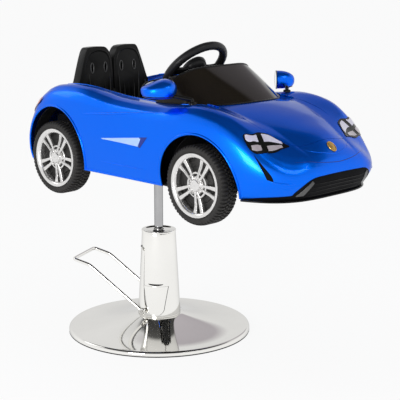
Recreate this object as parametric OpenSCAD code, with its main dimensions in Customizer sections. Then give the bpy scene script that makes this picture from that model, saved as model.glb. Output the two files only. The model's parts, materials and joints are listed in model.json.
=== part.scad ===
// Child's barber chair: a ride-on sports car standing on a hydraulic pump base.
// Frame: origin in the middle of the floor face, +X to the nose, +Y to the car's left, +Z up.

/* [Pump base] */
// Diameter of the round floor base
base_dia = 640; // [580:10:700]
// Height of the rolled rim of the chrome cover
base_rim_height = 18; // [15:1:22]
// Height of the middle of the chrome cover, where the shroud stands
base_crown_height = 58; // [54:1:62]
// Radius of the roll at the rim of the chrome cover
base_rim_round = 9; // [6:1:11]
// Sheet thickness of the chrome cover
cover_wall = 2; // [1.5:0.25:3]
// Width of the rubber ring under the rim
base_ring_width = 20; // [14:1:24]
// Height of the rubber ring under the rim
base_ring_height = 4; // [3:0.5:6]
// Thickness of the steel weight plate
weight_plate_thick = 8; // [6:1:10]

/* [Pump] */
// Diameter of the pump flange bolted to the weight plate
flange_dia = 132; // [128:1:138]
// Thickness of the pump flange
flange_thick = 10; // [8:1:12]
// Diameter of the piston inside the cylinder
piston_dia = 34; // [33:0.5:36]
// Height of the piston
piston_height = 22; // [20:1:26]
// Wall of the pump cylinder
cylinder_wall = 5; // [4:0.5:6]
// Height of the gland on the cylinder
gland_height = 12; // [8:1:14]
// Diameter of the chrome ram
ram_dia = 30.5; // [28:0.5:32]
// Distance that the chair can sink from the photographed height
lift_drop = 150; // [120:5:152]
// Running clearance between a shaft and its bore, on the radius
run_gap = 0.05; // [0.02:0.01:0.09]
// Clearance between pieces that only stand beside each other
seat_gap = 0.3; // [0.2:0.05:0.4]

/* [Shroud] */
// Diameter of the shroud where it stands on the base
shroud_foot_dia = 150; // [146:1:156]
// Diameter of the shroud at its top
shroud_top_dia = 118; // [112:1:124]
// Height of the shroud
shroud_height = 299; // [290:1:306]
// Sheet thickness of the shroud
shroud_wall = 1.6; // [1.2:0.2:2.4]
// Thickness of the cap on the shroud
shroud_cap_thick = 5; // [3:1:8]
// Width of the service panel low on the shroud
panel_width = 86; // [78:2:90]
// Height of the service panel
panel_height = 104; // [94:2:112]

/* [Foot pedal] */
// Compass heading of the pedal, from +X towards +Y
pedal_heading = 204; // [195:1:215]
// Height of the pedal shaft above the floor
pivot_height = 82; // [80:1:86]
// Distance of the pedal shaft from the ram axis
pivot_offset = 30; // [30:0.5:32]
// Diameter of the pedal shaft
shaft_dia = 12; // [11:0.5:12.5]
// Distance between the two bars of the pedal, centre to centre
bar_spacing = 166; // [164:1:176]
// Diameter of the pedal bars
bar_dia = 12; // [10:1:13]
// Horizontal distance from the shaft to the bend of the bars
bend_reach = 201; // [180:2:215]
// Height from the shaft to the bend of the bars
bend_rise = 148; // [130:2:160]
// Horizontal distance from the bend to the cross bar
tread_reach = 62; // [50:2:75]
// Height from the bend to the cross bar
tread_rise = 16; // [8:1:24]

/* [Car body] */
// Height of the sill above the floor at the photographed lift
sill_height = 603; // [596:1:612]
// Height of the body shell from the sill to the rear crest
body_height = 275; // [268:1:282]
// Length of the body shell
body_length = 1226; // [1214:1:1236]
// Width of the body shell
body_width = 606; // [602:1:612]
// Distance from the ram axis to the nose
nose_reach = 806; // [800:1:812]
// Wall of the moulded body panels
panel_wall = 4; // [3:0.5:5]
// Thickness of the splitter blade
splitter_thick = 5; // [4:0.5:6]
// Distance that the splitter stands proud of the nose
splitter_proud = 9; // [4:1:14]
// Diameter of the oval hood badge, across
badge_width = 30; // [24:1:36]

/* [Wheels] */
// Distance from the ram axis forward to the front axle
front_axle_reach = 474; // [468:1:480]
// Distance from the tail to the rear axle
rear_overhang = 220; // [214:1:226]
// Height of the axles above the sill
axle_rise = 24; // [22:1:28]
// Diameter of the tyres
tyre_dia = 248; // [240:1:250]
// Width of the tyres
tyre_width = 75; // [70:1:78]
// Distance of the outer faces of the tyres inside the body's widest line
tyre_tuck = 3; // [1:0.5:4]
// Diameter of the rims
rim_dia = 200; // [190:1:204]
// Diameter of the wheel axles
axle_dia = 12; // [10:0.5:13]
// Diameter of the front wheel arches
front_arch_dia = 310; // [308:1:316]
// Diameter of the rear wheel arches
rear_arch_dia = 316; // [312:1:322]
// Number of tread blocks around a tyre
tread_count = 30; // [20:2:36]
// Number of double spokes in a rim
spoke_count = 5; // [5:1:6]

/* [Cockpit] */
// Diameter of the steering wheel over its rim
steering_wheel_dia = 246; // [236:2:250]
// Thickness of the steering wheel rim
steering_rim_dia = 28; // [24:1:29]
// Lean of the steering wheel from upright
steering_lean = 44; // [42:1:46]
// Diameter of the horn button
horn_dia = 34; // [28:1:38]
// Height of the seat backs above the sill
seat_back_rise = 385; // [374:1:394]
// Thickness of the windscreen
screen_wall = 3; // [2:0.5:4]
// Height of the middle of the windscreen's top edge above the sill
screen_rise = 355; // [340:1:365]

/* [Hidden] */
$fn = 48;
cut_over = 1;

// Heights in the pump base
flange_top = weight_plate_thick + flange_thick;
shroud_foot_z = base_crown_height + seat_gap;
shroud_top_z = shroud_foot_z + shroud_height;
gland_room = 5;
cylinder_top = shroud_top_z - gland_room - gland_height;
cylinder_height = cylinder_top - flange_top;
base_r = base_dia / 2;
cover_hole_gap = 4;
cover_hole_r = flange_dia / 2 + cover_hole_gap;
crown_ledge = 3;
bolt_shank_r = 5;
bolt_head_r = 8;
bolt_head_height = 6;
bolt_depth = 6;
pump_bolt_circle_r = 55;
pump_bolt_turns = [for (a = [-24, 24, 156, 204]) pedal_heading + a];

// Piston and ram
piston_r = piston_dia / 2;
bore_r = piston_r + run_gap;
cylinder_r = bore_r + cylinder_wall;
bore_floor = 3;
piston_room = 7;
piston_foot_z = flange_top + bore_floor + lift_drop + piston_room;
seal_groove = 3;
spigot_r = 8;
spigot_floor = 4;
spigot_length = piston_height - spigot_floor;
gland_lip = 4;
ram_r = ram_dia / 2;
ram_foot_z = piston_foot_z + piston_height + seat_gap;

// Levels under the car
axle_z = sill_height + axle_rise;
tub_depth = 20;
tub_floor_z = sill_height - tub_depth;
tub_wall = 4;
tub_floor_thick = 6;
tub_floor_top = tub_floor_z + tub_floor_thick;
tray_lift = 2;
tray_z = sill_height + tray_lift;
tray_thick = 4;
tray_top = tray_z + tray_thick;
rail_height = 20;
rail_width = 30;
rail_wall = 2.5;
rail_length = 540;
rail_rear_x = -230;
rail_offset = 80;
plate_thick = 8;
plate_size = 220;
plate_z = tub_floor_z - rail_height - plate_thick;
socket_r = 26;
socket_height = 18;
plate_bolt_r = 4;
plate_head_r = 7;
plate_head_height = 5;
plate_bolt_inset = 25;

// Pedal frame directions and places
pedal_r = bar_dia / 2;
elbow_swell = 0.4;
shaft_r = shaft_dia / 2;
shaft_over = 8;
hub_r = 11;
hub_width = 12;
ear_thick = 8;
ear_spread = 38;
arm_reach = 22;
roller_r = 7;
roller_width = 14;
plunger_r = 6;
plunger_guide_r = 11;
plunger_guide_height = 38;
plunger_length = 34;

// Body shell
nose_x = nose_reach;
tail_x = nose_reach - body_length;
mid_share = 0.521;
mid_x = tail_x + mid_share * body_length;
half_width = body_width / 2;
nose_square_share = 3.6;
tail_square_share = 8;
front_axle_x = front_axle_reach;
rear_axle_x = tail_x + rear_overhang;
track_width = body_width - 2 * tyre_tuck;
front_arch_r = front_arch_dia / 2;
rear_arch_r = rear_arch_dia / 2;
front_arch_lift = 3;
front_arch_z = axle_z + front_arch_lift;
rear_arch_lift = 20;
rear_arch_z = axle_z + rear_arch_lift;
seam_share = 0.64;
front_seam_x = front_axle_x + seam_share * front_arch_r;
rear_seam_angle = 120;
rear_seam_x = rear_axle_x + cos(rear_seam_angle) * rear_arch_r;
bumper_seam_angle = 42;
tail_seam_angle = 130;

// Where the seat and the dashboard stand between the axles
back_room = 16;
back_x = rear_axle_x - back_room;
squab_reach = 192;
squab_front_x = back_x + squab_reach;
dash_face_gap = 39.25;
dash_face_x = mid_x + dash_face_gap;

// Height of the fender crest, the swage inside it and the centre line, as shares of the
// body height against shares of the body length from the tail
crest_shares = [[0, 0.51], [0.03, 0.62], [0.06, 0.73], [0.094, 0.86], [0.144, 0.955], [0.193, 0.99],
    [0.242, 1], [0.291, 0.99], [0.34, 0.957], [0.41, 0.915], [0.508, 0.895], [0.587, 0.898],
    [0.636, 0.918], [0.685, 0.94], [0.724, 0.935], [0.764, 0.91], [0.803, 0.862], [0.843, 0.77],
    [0.872, 0.675], [0.907, 0.54], [0.941, 0.43], [0.97, 0.355], [1, 0.315]];
swage_shares = [[0, 0.64], [0.035, 0.75], [0.07, 0.855], [0.124, 0.935], [0.212, 0.963], [0.34, 0.925],
    [0.5, 0.893], [0.66, 0.905], [0.7, 0.898], [0.75, 0.866], [0.81, 0.793], [0.87, 0.695],
    [0.935, 0.54], [0.965, 0.465], [1, 0.355]];
centre_shares = [[0, 0.68], [0.035, 0.79], [0.07, 0.885], [0.124, 0.955], [0.212, 0.97], [0.34, 0.935],
    [0.5, 0.9], [0.66, 0.92], [0.72, 0.924], [0.77, 0.887], [0.83, 0.818], [0.87, 0.753],
    [0.915, 0.672], [0.955, 0.56], [0.982, 0.45], [1, 0.36]];
// Rows from the sill to the inner lip: height share, then how full the plan is at the
// nose, the sides and the tail
section_shares = [[0, 0.935, 0.945, 0.995], [0.15, 0.958, 0.968, 1], [0.32, 0.978, 0.988, 0.992],
    [0.5, 0.994, 1, 0.978], [0.68, 1, 0.996, 0.958], [0.82, 0.998, 0.976, 0.932],
    [0.92, 0.988, 0.935, 0.905], [0.98, 0.97, 0.87, 0.88], [1, 0.945, 0.8, 0.87],
    [1, 0.92, 0.66, 0.865], [1, 0.885, 0.52, 0.86]];
lip_row_share = 9;
hood_row_share = 10;

function bounded(t) = max(0, min(1, t));
function ease(a, b, x) = let (t = bounded((x - a) / (b - a))) t * t * (3 - 2 * t);
function mix(a, b, t) = a + (b - a) * t;
function steps(count) = [for (i = [0 : count]) i / count];
function row_under(table, x) = max(0, min(len(table) - 2, len([for (r = table) if (r[0] <= x) 1]) - 1));
function slope(table, i, c) = let (a = max(i - 1, 0), b = min(i + 1, len(table) - 1))
    (table[b][c] - table[a][c]) / (table[b][0] - table[a][0]);
function blend(a, b, m, n, t) = (2 * pow(t, 3) - 3 * pow(t, 2) + 1) * a
    + (pow(t, 3) - 2 * pow(t, 2) + t) * m
    + (3 * pow(t, 2) - 2 * pow(t, 3)) * b + (pow(t, 3) - pow(t, 2)) * n;
function smooth(table, x) = let (i = row_under(table, x), h = table[i + 1][0] - table[i][0],
    t = bounded((x - table[i][0]) / h))
    blend(table[i][1], table[i + 1][1], slope(table, i, 1) * h, slope(table, i + 1, 1) * h, t);

// Height of the skin over a point of the plan
swage_y = 0.25 * body_width;
crest_y = 0.393 * body_width;
swage_taper = 0.09 * body_width;
crest_taper = 0.066 * body_width;
function along(x) = bounded((x - tail_x) / body_length);
function swage_at(x) = swage_y - swage_taper * ease(0.73, 1, along(x));
function crest_at(x) = crest_y - crest_taper * ease(0.83, 1, along(x));
function top_share(x, y) = let (s = along(x), w = swage_at(x), c = crest_at(x),
    inner = smooth(swage_shares, s), mid = smooth(centre_shares, s), crest = smooth(crest_shares, s))
    abs(y) < w ? mid + (inner - mid) * pow(y / w, 2) : inner + (crest - inner) * ease(w, c, abs(y));
function top_z(x, y) = sill_height + body_height * top_share(x, y);

// Plan outline: q runs from 0 at the nose to 2 at the left side and 4 at the tail
function wrapped(q) = q > 4 ? q - 8 : q < -4 ? q + 8 : q;
function square_point(p) = let (q = wrapped(p)) abs(q) <= 1 ? [1, q]
    : abs(q) <= 3 ? [2 - abs(q), sign(q)] : [-1, sign(q) * (4 - abs(q))];
function squareness(p) = p[0] > 0 ? nose_square_share : tail_square_share;
function rounded(p, n) = p * pow(pow(abs(p[0]), n) + pow(abs(p[1]), n), -1 / n);
function outline_point(q) = let (p = square_point(q)) rounded(p, squareness(p));
function section_at(k) = let (i = max(0, min(len(section_shares) - 2, floor(k))), t = k - i)
    [mix(section_shares[i][0], section_shares[i + 1][0], t), fullness(i, t, 1), fullness(i, t, 2),
        fullness(i, t, 3)];
function full_slope(i, c) = let (a = max(i - 1, 0), b = min(i + 1, len(section_shares) - 1))
    (section_shares[b][c] - section_shares[a][c]) / (b - a);
function fullness(i, t, c) = blend(section_shares[i][c], section_shares[i + 1][c], full_slope(i, c),
    full_slope(i + 1, c), t);
function skin(q, k, inset = 0) = let (o = outline_point(q), s = section_at(k),
    lean = ease(0, 1, pow(o[0], 2) / (pow(o[0], 2) + pow(o[1], 2))),
    full = mix(s[2], o[0] > 0 ? s[1] : s[3], lean),
    x = mid_x + ((o[0] > 0 ? nose_x - mid_x : mid_x - tail_x) - inset) * o[0] * full,
    y = (half_width - inset) * o[1] * full)
    [x, y, sill_height + (top_z(x, y) - inset - sill_height) * s[0]];

// Place on the outline of a point of the side at x, and the row of a height there
function side_q(x) = let (o = (x - mid_x) / (x > mid_x ? nose_x - mid_x : mid_x - tail_x),
    n = x > mid_x ? nose_square_share : tail_square_share,
        u = pow(pow(abs(o), n) / (1 - pow(abs(o), n)), 1 / n))
    2 - sign(o) * u;
function row_of(share) = let (i = row_under(section_shares, share),
    a = section_shares[i][0], b = section_shares[i + 1][0]) min(8, i + (share - a) / (b - a));
// Place on the outline of an arch corner, allowing for the fullness of the plan at its row
function arch_q(x) = side_q(mid_x + (x - mid_x) / section_at(low_row(x, half_width))[2]);
function arch_rise(x, cx, cz, r) = abs(x - cx) < r ? cz + sqrt(pow(r, 2) - pow(x - cx, 2)) : sill_height;
function low_z(x) = max(sill_height, arch_rise(x, front_axle_x, front_arch_z, front_arch_r),
    arch_rise(x, rear_axle_x, rear_arch_z, rear_arch_r));
function low_row(x, y) = row_of((low_z(x) - sill_height) / (top_z(x, y) - sill_height));
arch_step = 0.4;
function arch_stations(cx, r, from, to, count) =
    [for (i = [0 : count]) cx + r * cos(mix(from, to, i / count))];
function run(from, to, count) = [for (i = [0 : count]) mix(from, to, i / count)];

// Closed shell between two grids of points that have the same rows and columns
module shell_between(outer, inner) {
    rows = len(outer);
    cols = len(outer[0]);
    half = rows * cols;
    points = concat([for (r = outer) each r], [for (r = inner) each r]);
    last_row = (rows - 1) * cols;
    rim = concat([for (j = [0 : cols - 1]) j], [for (i = [1 : rows - 1]) i * cols + cols - 1],
        [for (j = [cols - 2 : -1 : 0]) last_row + j], [for (i = [rows - 2 : -1 : 1]) i * cols]);
    skins = [for (i = [0 : rows - 2], j = [0 : cols - 2])
        let (a = i * cols + j, b = a + 1, c = b + cols, d = a + cols)
        each [[a, b, c], [a, c, d], [a + half, c + half, b + half], [a + half, d + half, c + half]]];
    sides = [for (i = [0 : len(rim) - 1]) let (a = rim[i], b = rim[(i + 1) % len(rim)])
        each [[a, a + half, b + half], [a, b + half, b]]];
    polyhedron(points, concat(skins, sides));
}
function skin_grid(qs, lows, highs, rows, inset) = [for (j = [0 : rows]) [for (i = [0 : len(qs) - 1])
    skin(qs[i], mix(lows[i], highs[i], j / rows), inset)]];
module skin_panel(qs, lows, highs, rows, outset, inset) {
    outer = skin_grid(qs, lows, highs, rows, outset);
    inner = skin_grid(qs, lows, highs, rows, inset);
    if (qs[0] > qs[len(qs) - 1]) shell_between(outer, inner);
    else shell_between(inner, outer);
}
module skin_patch(q_from, q_to, k_from, k_to, cols, rows, outset, inset) {
    qs = run(q_from, q_to, cols);
    skin_panel(qs, [for (q = qs) k_from], [for (q = qs) k_to], rows, outset, inset);
}

// Directions of the pedal and of the steering gear
module on_pedal_side() {
    rotate([0, 0, pedal_heading]) children();
}
module bar_between(a, b, r) {
    v = b - a;
    reach = norm(v);
    translate(a) rotate([0, acos(v[2] / reach), atan2(v[1], v[0])]) cylinder(r = r, h = reach);
}
module ring(r_out, r_in, h) {
    difference() {
        cylinder(r = r_out, h = h);
        translate([0, 0, -cut_over]) cylinder(r = r_in, h = h + 2 * cut_over);
    }
}
module block(size) {
    translate([-size[0] / 2, -size[1] / 2, 0]) cube(size);
}

// Pump base
module base_plate() {
    color("dimgray") difference() {
        cylinder(r = base_r - base_ring_width - seat_gap, h = weight_plate_thick, $fn = 96);
        for (a = pump_bolt_turns) rotate([0, 0, a])
            translate([pump_bolt_circle_r, 0, weight_plate_thick - bolt_depth])
            cylinder(r = bolt_shank_r + run_gap, h = bolt_depth + cut_over);
    }
}
module base_ring() {
    color("black") ring(base_r, base_r - base_ring_width, base_ring_height, $fn = 96);
}
function cover_arc(r, turns) =
    [for (a = turns) [base_r - base_rim_round + r * cos(a), base_rim_height - base_rim_round + r * sin(a)]];
function dish(from, to, low, high, turns) = [for (t = turns) let (s = t / 10)
    [mix(from, to, s), mix(low, high, s * s)]];
module base_cover() {
    ledge_r = shroud_foot_dia / 2 + crown_ledge;
    inner_round = base_rim_round - cover_wall;
    top_r = base_r - base_rim_round;
    color("silver") rotate_extrude($fn = 96) polygon(concat(
        [[base_r, base_ring_height]], cover_arc(base_rim_round, [0 : 15 : 90]),
        dish(top_r, ledge_r, base_rim_height, base_crown_height, [1 : 10]),
        [[cover_hole_r, base_crown_height], [cover_hole_r, base_crown_height - cover_wall]],
        dish(top_r, ledge_r, base_rim_height - cover_wall, base_crown_height - cover_wall, [10 : -1 : 1]),
        cover_arc(inner_round, [90 : -15 : 0]), [[base_r - cover_wall, base_ring_height]]));
}
module pump_body() {
    color("gray") difference() {
        union() {
            translate([0, 0, weight_plate_thick]) cylinder(r = flange_dia / 2, h = flange_thick);
            translate([0, 0, weight_plate_thick])
                cylinder(r = cylinder_r, h = flange_thick + cylinder_height);
            on_pedal_side() {
                translate([pivot_offset + arm_reach, 0, weight_plate_thick])
                    cylinder(r = plunger_guide_r, h = flange_thick + plunger_guide_height);
                for (s = [-1, 1]) translate([pivot_offset, s * ear_spread, weight_plate_thick]) {
                    block([2 * hub_r, ear_thick, pivot_height - weight_plate_thick]);
                    translate([0, ear_thick / 2, pivot_height - weight_plate_thick]) rotate([90, 0, 0])
                        cylinder(r = hub_r, h = ear_thick);
                }
            }
        }
        translate([0, 0, flange_top + bore_floor]) cylinder(r = bore_r, h = cylinder_height);
        on_pedal_side() {
            translate([pivot_offset + arm_reach, 0, flange_top])
                cylinder(r = plunger_r + run_gap, h = plunger_guide_height + cut_over);
            translate([pivot_offset, body_width / 4, pivot_height]) rotate([90, 0, 0])
                cylinder(r = shaft_r + run_gap, h = body_width / 2);
        }
        for (a = pump_bolt_turns) rotate([0, 0, a]) translate([pump_bolt_circle_r, 0, 0])
            cylinder(r = bolt_shank_r + run_gap, h = flange_top + cut_over);
    }
}
module pump_gland() {
    color("silver") translate([0, 0, cylinder_top])
        ring(cylinder_r + gland_lip, ram_r + run_gap, gland_height);
}
module pump_bolts() {
    color("dimgray") for (a = pump_bolt_turns) rotate([0, 0, a]) translate([pump_bolt_circle_r, 0, 0]) {
        translate([0, 0, weight_plate_thick - bolt_depth])
            cylinder(r = bolt_shank_r, h = bolt_depth + flange_thick);
        translate([0, 0, flange_top]) cylinder(r = bolt_head_r, h = bolt_head_height, $fn = 6);
    }
}

// Shroud: a tapered chrome cover over the pump
panel_angle = -54;
panel_lift = 8;
panel_foot_z = shroud_foot_z + panel_lift;
panel_foot_share = 0.36;
window_inset = 6;
slot_width = 54;
slot_height = 6;
slot_gap = 3;
shaft_window_gap = 3;
shaft_window_r = shaft_r + shaft_window_gap;
shroud_lip = 1.5;
function shroud_r(z) = mix(shroud_foot_dia, shroud_top_dia, (z - shroud_foot_z) / shroud_height) / 2;
module tapered(from, to, grow) {
    translate([0, 0, from]) cylinder(r1 = shroud_r(from) + grow, r2 = shroud_r(to) + grow, h = to - from,
        $fn = 96);
}
module panel_outline(width, height) {
    foot_r = width * panel_foot_share;
    translate([0, foot_r]) intersection() {
        circle(r = foot_r);
        translate([-width / 2, -foot_r]) square([width, foot_r]);
    }
    polygon([[-foot_r, foot_r], [foot_r, foot_r], [width / 2, height], [-width / 2, height]]);
}
module from_panel_side(z) {
    rotate([0, 0, panel_angle + 90]) translate([0, 0, z]) rotate([90, 0, 0]) linear_extrude(shroud_foot_dia)
        children();
}
module shroud() {
    color("silver") difference() {
        tapered(shroud_foot_z, shroud_top_z, 0);
        tapered(shroud_foot_z - cut_over, shroud_top_z + cut_over, -shroud_wall);
        from_panel_side(panel_foot_z + window_inset)
            panel_outline(panel_width - 2 * window_inset, panel_height - 2 * window_inset);
        from_panel_side(panel_foot_z + panel_height + slot_gap)
            translate([-slot_width / 2, 0]) square([slot_width, slot_height]);
        on_pedal_side() translate([pivot_offset, shroud_foot_dia, pivot_height]) rotate([90, 0, 0])
            cylinder(r = shaft_window_r, h = 2 * shroud_foot_dia);
    }
}
module shroud_cap() {
    color("silver") translate([0, 0, shroud_top_z]) rotate_extrude($fn = 96)
        polygon([[ram_r + shroud_wall, 0],
        [shroud_top_dia / 2 + shroud_lip, 0],
            [shroud_top_dia / 2 + shroud_lip, shroud_cap_thick - shroud_lip],
        [shroud_top_dia / 2, shroud_cap_thick], [ram_r + shroud_wall, shroud_cap_thick]]);
}
module shroud_panel() {
    color("silver") intersection() {
        difference() {
            tapered(panel_foot_z, panel_foot_z + panel_height + cut_over, seat_gap + shroud_wall);
            tapered(panel_foot_z - cut_over, panel_foot_z + panel_height + 2 * cut_over, seat_gap);
        }
        from_panel_side(panel_foot_z) panel_outline(panel_width, panel_height);
    }
}

// Piston and ram
module piston_head() {
    color("lightgray") translate([0, 0, piston_foot_z]) rotate_extrude() polygon([[0, 0], [piston_r, 0],
        for (s = [0.25, 0.75], c = [[0, -0.5], [1, -0.5], [1, 0.5], [0, 0.5]])
            [piston_r - seal_groove * c[0], piston_height * s + seal_groove * c[1]],
        [piston_r, piston_height], [spigot_r + run_gap, piston_height],
        [spigot_r + run_gap, piston_height - spigot_length], [0, piston_height - spigot_length]]);
}
module piston_seals() {
    seal_r = seal_groove / 2 - run_gap;
    color("black") for (s = [0.25, 0.75]) translate([0, 0, piston_foot_z + piston_height * s])
        rotate_extrude() translate([piston_r - seal_r, 0]) circle(r = seal_r, $fn = 24);
}
module ram_rod() {
    color("silver") {
        translate([0, 0, ram_foot_z]) cylinder(r = ram_r, h = plate_z + plate_thick - ram_foot_z);
        translate([0, 0, ram_foot_z - spigot_length + cut_over]) cylinder(r = spigot_r, h = spigot_length);
    }
}

// Foot pedal
module pedal_shaft() {
    shaft_half = bar_spacing / 2 + shaft_over;
    color("dimgray") on_pedal_side() {
        translate([pivot_offset, shaft_half, pivot_height]) rotate([90, 0, 0])
            cylinder(r = shaft_r, h = 2 * shaft_half);
        translate([pivot_offset, -roller_width / 2, pivot_height - shaft_r / 2])
            cube([arm_reach, roller_width, shaft_r]);
        translate([pivot_offset + arm_reach, roller_width / 2, pivot_height]) rotate([90, 0, 0])
            cylinder(r = roller_r, h = roller_width);
    }
}
module pedal_frame() {
    bend = [bend_reach, 0, bend_rise];
    tread = bend + [tread_reach, 0, tread_rise];
    side = [0, bar_spacing / 2, 0];
    color("silver") on_pedal_side() translate([pivot_offset, 0, pivot_height]) {
        for (s = [-1, 1]) {
            translate([0, s * bar_spacing / 2 + hub_width / 2, 0]) rotate([90, 0, 0])
                ring(hub_r, shaft_r + run_gap, hub_width);
            bar_between(bend * (hub_r - pedal_r / 2) / norm(bend) + s * side, bend + s * side, pedal_r);
            translate(bend + s * side) sphere(r = pedal_r + elbow_swell);
            bar_between(bend + s * side, tread + s * side, pedal_r);
            translate(tread + s * side) sphere(r = pedal_r + elbow_swell);
        }
        bar_between(tread - side, tread + side, pedal_r);
    }
}
module pump_plunger() {
    top = pivot_height - roller_r - seat_gap;
    color("lightgray") on_pedal_side() translate([pivot_offset + arm_reach, 0, top - plunger_length])
        cylinder(r = plunger_r, h = plunger_length);
}

// Plate, rails and bolts that carry the car
plate_bolt_spots = [for (x = [-1, 1], y = [-1, 1]) [x * (plate_size / 2 - plate_bolt_inset),
    y * rail_offset]];
module seat_plate() {
    color("dimgray") difference() {
        union() {
            translate([0, 0, plate_z]) block([plate_size, plate_size, plate_thick]);
            translate([0, 0, plate_z - socket_height])
                cylinder(r = socket_r, h = socket_height + plate_thick / 2);
        }
        translate([0, 0, plate_z - socket_height - cut_over])
            cylinder(r = ram_r + run_gap, h = socket_height + plate_thick + 2 * cut_over);
        for (p = plate_bolt_spots) translate([p[0], p[1], plate_z - cut_over])
            cylinder(r = plate_bolt_r + run_gap, h = plate_thick + 2 * cut_over);
    }
}
module plate_bolts() {
    color("silver") for (p = plate_bolt_spots) translate([p[0], p[1], plate_z]) {
        translate([0, 0, -plate_head_height]) cylinder(r = plate_head_r, h = plate_head_height, $fn = 6);
        cylinder(r = plate_bolt_r, h = plate_thick + rail_wall);
    }
}
module underframe() {
    color("dimgray") for (s = [-1, 1]) difference() {
        translate([rail_rear_x, s * rail_offset - rail_width / 2, plate_z + plate_thick])
            cube([rail_length, rail_width, rail_height]);
        translate([rail_rear_x - cut_over, s * rail_offset - rail_width / 2 + rail_wall,
            plate_z + plate_thick + rail_wall])
            cube([rail_length + 2 * cut_over, rail_width - 2 * rail_wall, rail_height - 2 * rail_wall]);
        for (p = plate_bolt_spots) translate([p[0], p[1], plate_z])
            cylinder(r = plate_bolt_r + run_gap, h = plate_thick + rail_wall + cut_over);
    }
}

// Chassis tub: floor, walls, the tray that the panels stand on, seat risers and brackets
box_tail_room = 135;
box_nose_gap = 134;
box_rear_inset = 131;
box_mid_inset = 92;
box_rear_x = rear_axle_x - box_tail_room;
box_front_x = front_axle_x - box_nose_gap;
box_half_rear = half_width - box_rear_inset;
box_half_mid = half_width - box_mid_inset;
step_rear_gap = 16;
step_front_gap = 8;
step_rear_x = rear_axle_x + rear_arch_r + step_rear_gap;
step_front_x = front_axle_x - front_arch_r - step_front_gap;
tub_wall_rise = 150;
tub_wall_top = sill_height + tub_wall_rise;
card_rise = 236;
card_top = sill_height + card_rise;
well_half = 150;
front_well_inset = 121;
rear_well_inset = 89;
front_well_y = half_width - front_well_inset;
rear_well_y = half_width - rear_well_inset;
box_half_front = front_well_y - 2 * seat_gap;
riser_thick = 10;
seat_base_rise = 60;
seat_base_z = sill_height + seat_base_rise;
riser_inset = 28;
risers = [back_x + tub_wall / 2, squab_front_x - riser_inset];
shelf_depth = 40;
shelf_width = 30;
shelf_thick = 6;
function box_outline(d) = [[box_rear_x + d, box_half_rear - d], [step_rear_x + d, box_half_rear - d],
    [step_rear_x + d, box_half_mid - d], [step_front_x - d, box_half_mid - d],
    [step_front_x - d, box_half_front - d], [box_front_x - d, box_half_front - d]];
function both_sides(half) = concat(half, [for (i = [len(half) - 1 : -1 : 0]) [half[i][0], -half[i][1]]]);
module tray_outline() {
    k = row_of(0.01);
    polygon([for (i = [0 : 79]) let (p = skin(-4 + i / 10, k, panel_wall + 2 * seat_gap)) [p[0], p[1]]]);
}
module wheel_wells() {
    for (s = [-1, 1]) {
        translate([front_axle_x - well_half, s > 0 ? front_well_y : -front_well_y - half_width])
            square([2 * well_half, half_width]);
        translate([rear_axle_x - well_half, s > 0 ? rear_well_y : -rear_well_y - half_width])
            square([2 * well_half, half_width]);
    }
}
pedal_pin_gap = 4;
pedal_pin_x = dash_face_x + pedal_pin_gap;
pedal_pin_y = -80;
pedal_pin_rise = 12;
pedal_pin_r = 3;
pedal_ear = 6;
pedal_width = 56;
pedal_length = 84;
pedal_plate = 6;
pedal_lean_angle = 38;
module chassis_tub() {
    color("black") difference() {
        union() {
            translate([0, 0, tray_z]) linear_extrude(tray_thick) difference() {
                tray_outline();
                wheel_wells();
                polygon(both_sides(box_outline(tub_wall / 2)));
            }
            translate([0, 0, tub_floor_z]) linear_extrude(tub_floor_top - tub_floor_z)
                polygon(both_sides(box_outline(0)));
            translate([0, 0, tub_floor_z]) linear_extrude(tub_wall_top - tub_floor_z) difference() {
                polygon(both_sides(box_outline(0)));
                polygon(both_sides(box_outline(tub_wall)));
            }
            for (s = [-1, 1]) translate([step_rear_x, s > 0 ? box_half_mid - tub_wall : -box_half_mid,
                tub_wall_top - tub_wall])
                cube([step_front_x - step_rear_x, tub_wall, card_top - tub_wall_top + tub_wall]);
            for (x = risers) translate([x, -box_half_rear + tub_wall / 2, tub_floor_z])
                cube([riser_thick, 2 * box_half_rear - tub_wall, seat_base_z - tub_floor_z]);
            for (s = [-1, 1]) translate([pedal_pin_x - pedal_ear, pedal_pin_y
                + s * (pedal_width + pedal_ear) / 2 + s * seat_gap - pedal_ear / 2, tub_floor_top
                    - cut_over])
                cube([2 * pedal_ear, pedal_ear, pedal_pin_rise + pedal_ear + cut_over]);
            for (s = [-1, 1]) translate([dash_face_x, s > 0 ? box_half_mid - shelf_width : -box_half_mid,
                dash_foot_z - seat_gap - shelf_thick]) cube([shelf_depth, shelf_width, shelf_thick]);
            spindle_bracket();
        }
        translate([rear_axle_x, half_width, axle_z]) rotate([90, 0, 0])
            cylinder(r = axle_dia / 2 + run_gap, h = body_width);
        translate([pedal_pin_x, pedal_pin_y + pedal_width, tub_floor_top + pedal_pin_rise])
            rotate([90, 0, 0])
            cylinder(r = pedal_pin_r + run_gap, h = 2 * pedal_width);
        along_spindle() translate([0, 0, -spindle_length])
            cylinder(r = spindle_r + run_gap, h = spindle_length);
        for (p = seat_bolt_spots) translate([p[0], p[1], seat_base_z - seat_bolt_depth])
            cylinder(r = seat_bolt_r + run_gap, h = seat_bolt_depth + cut_over);
    }
}

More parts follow.
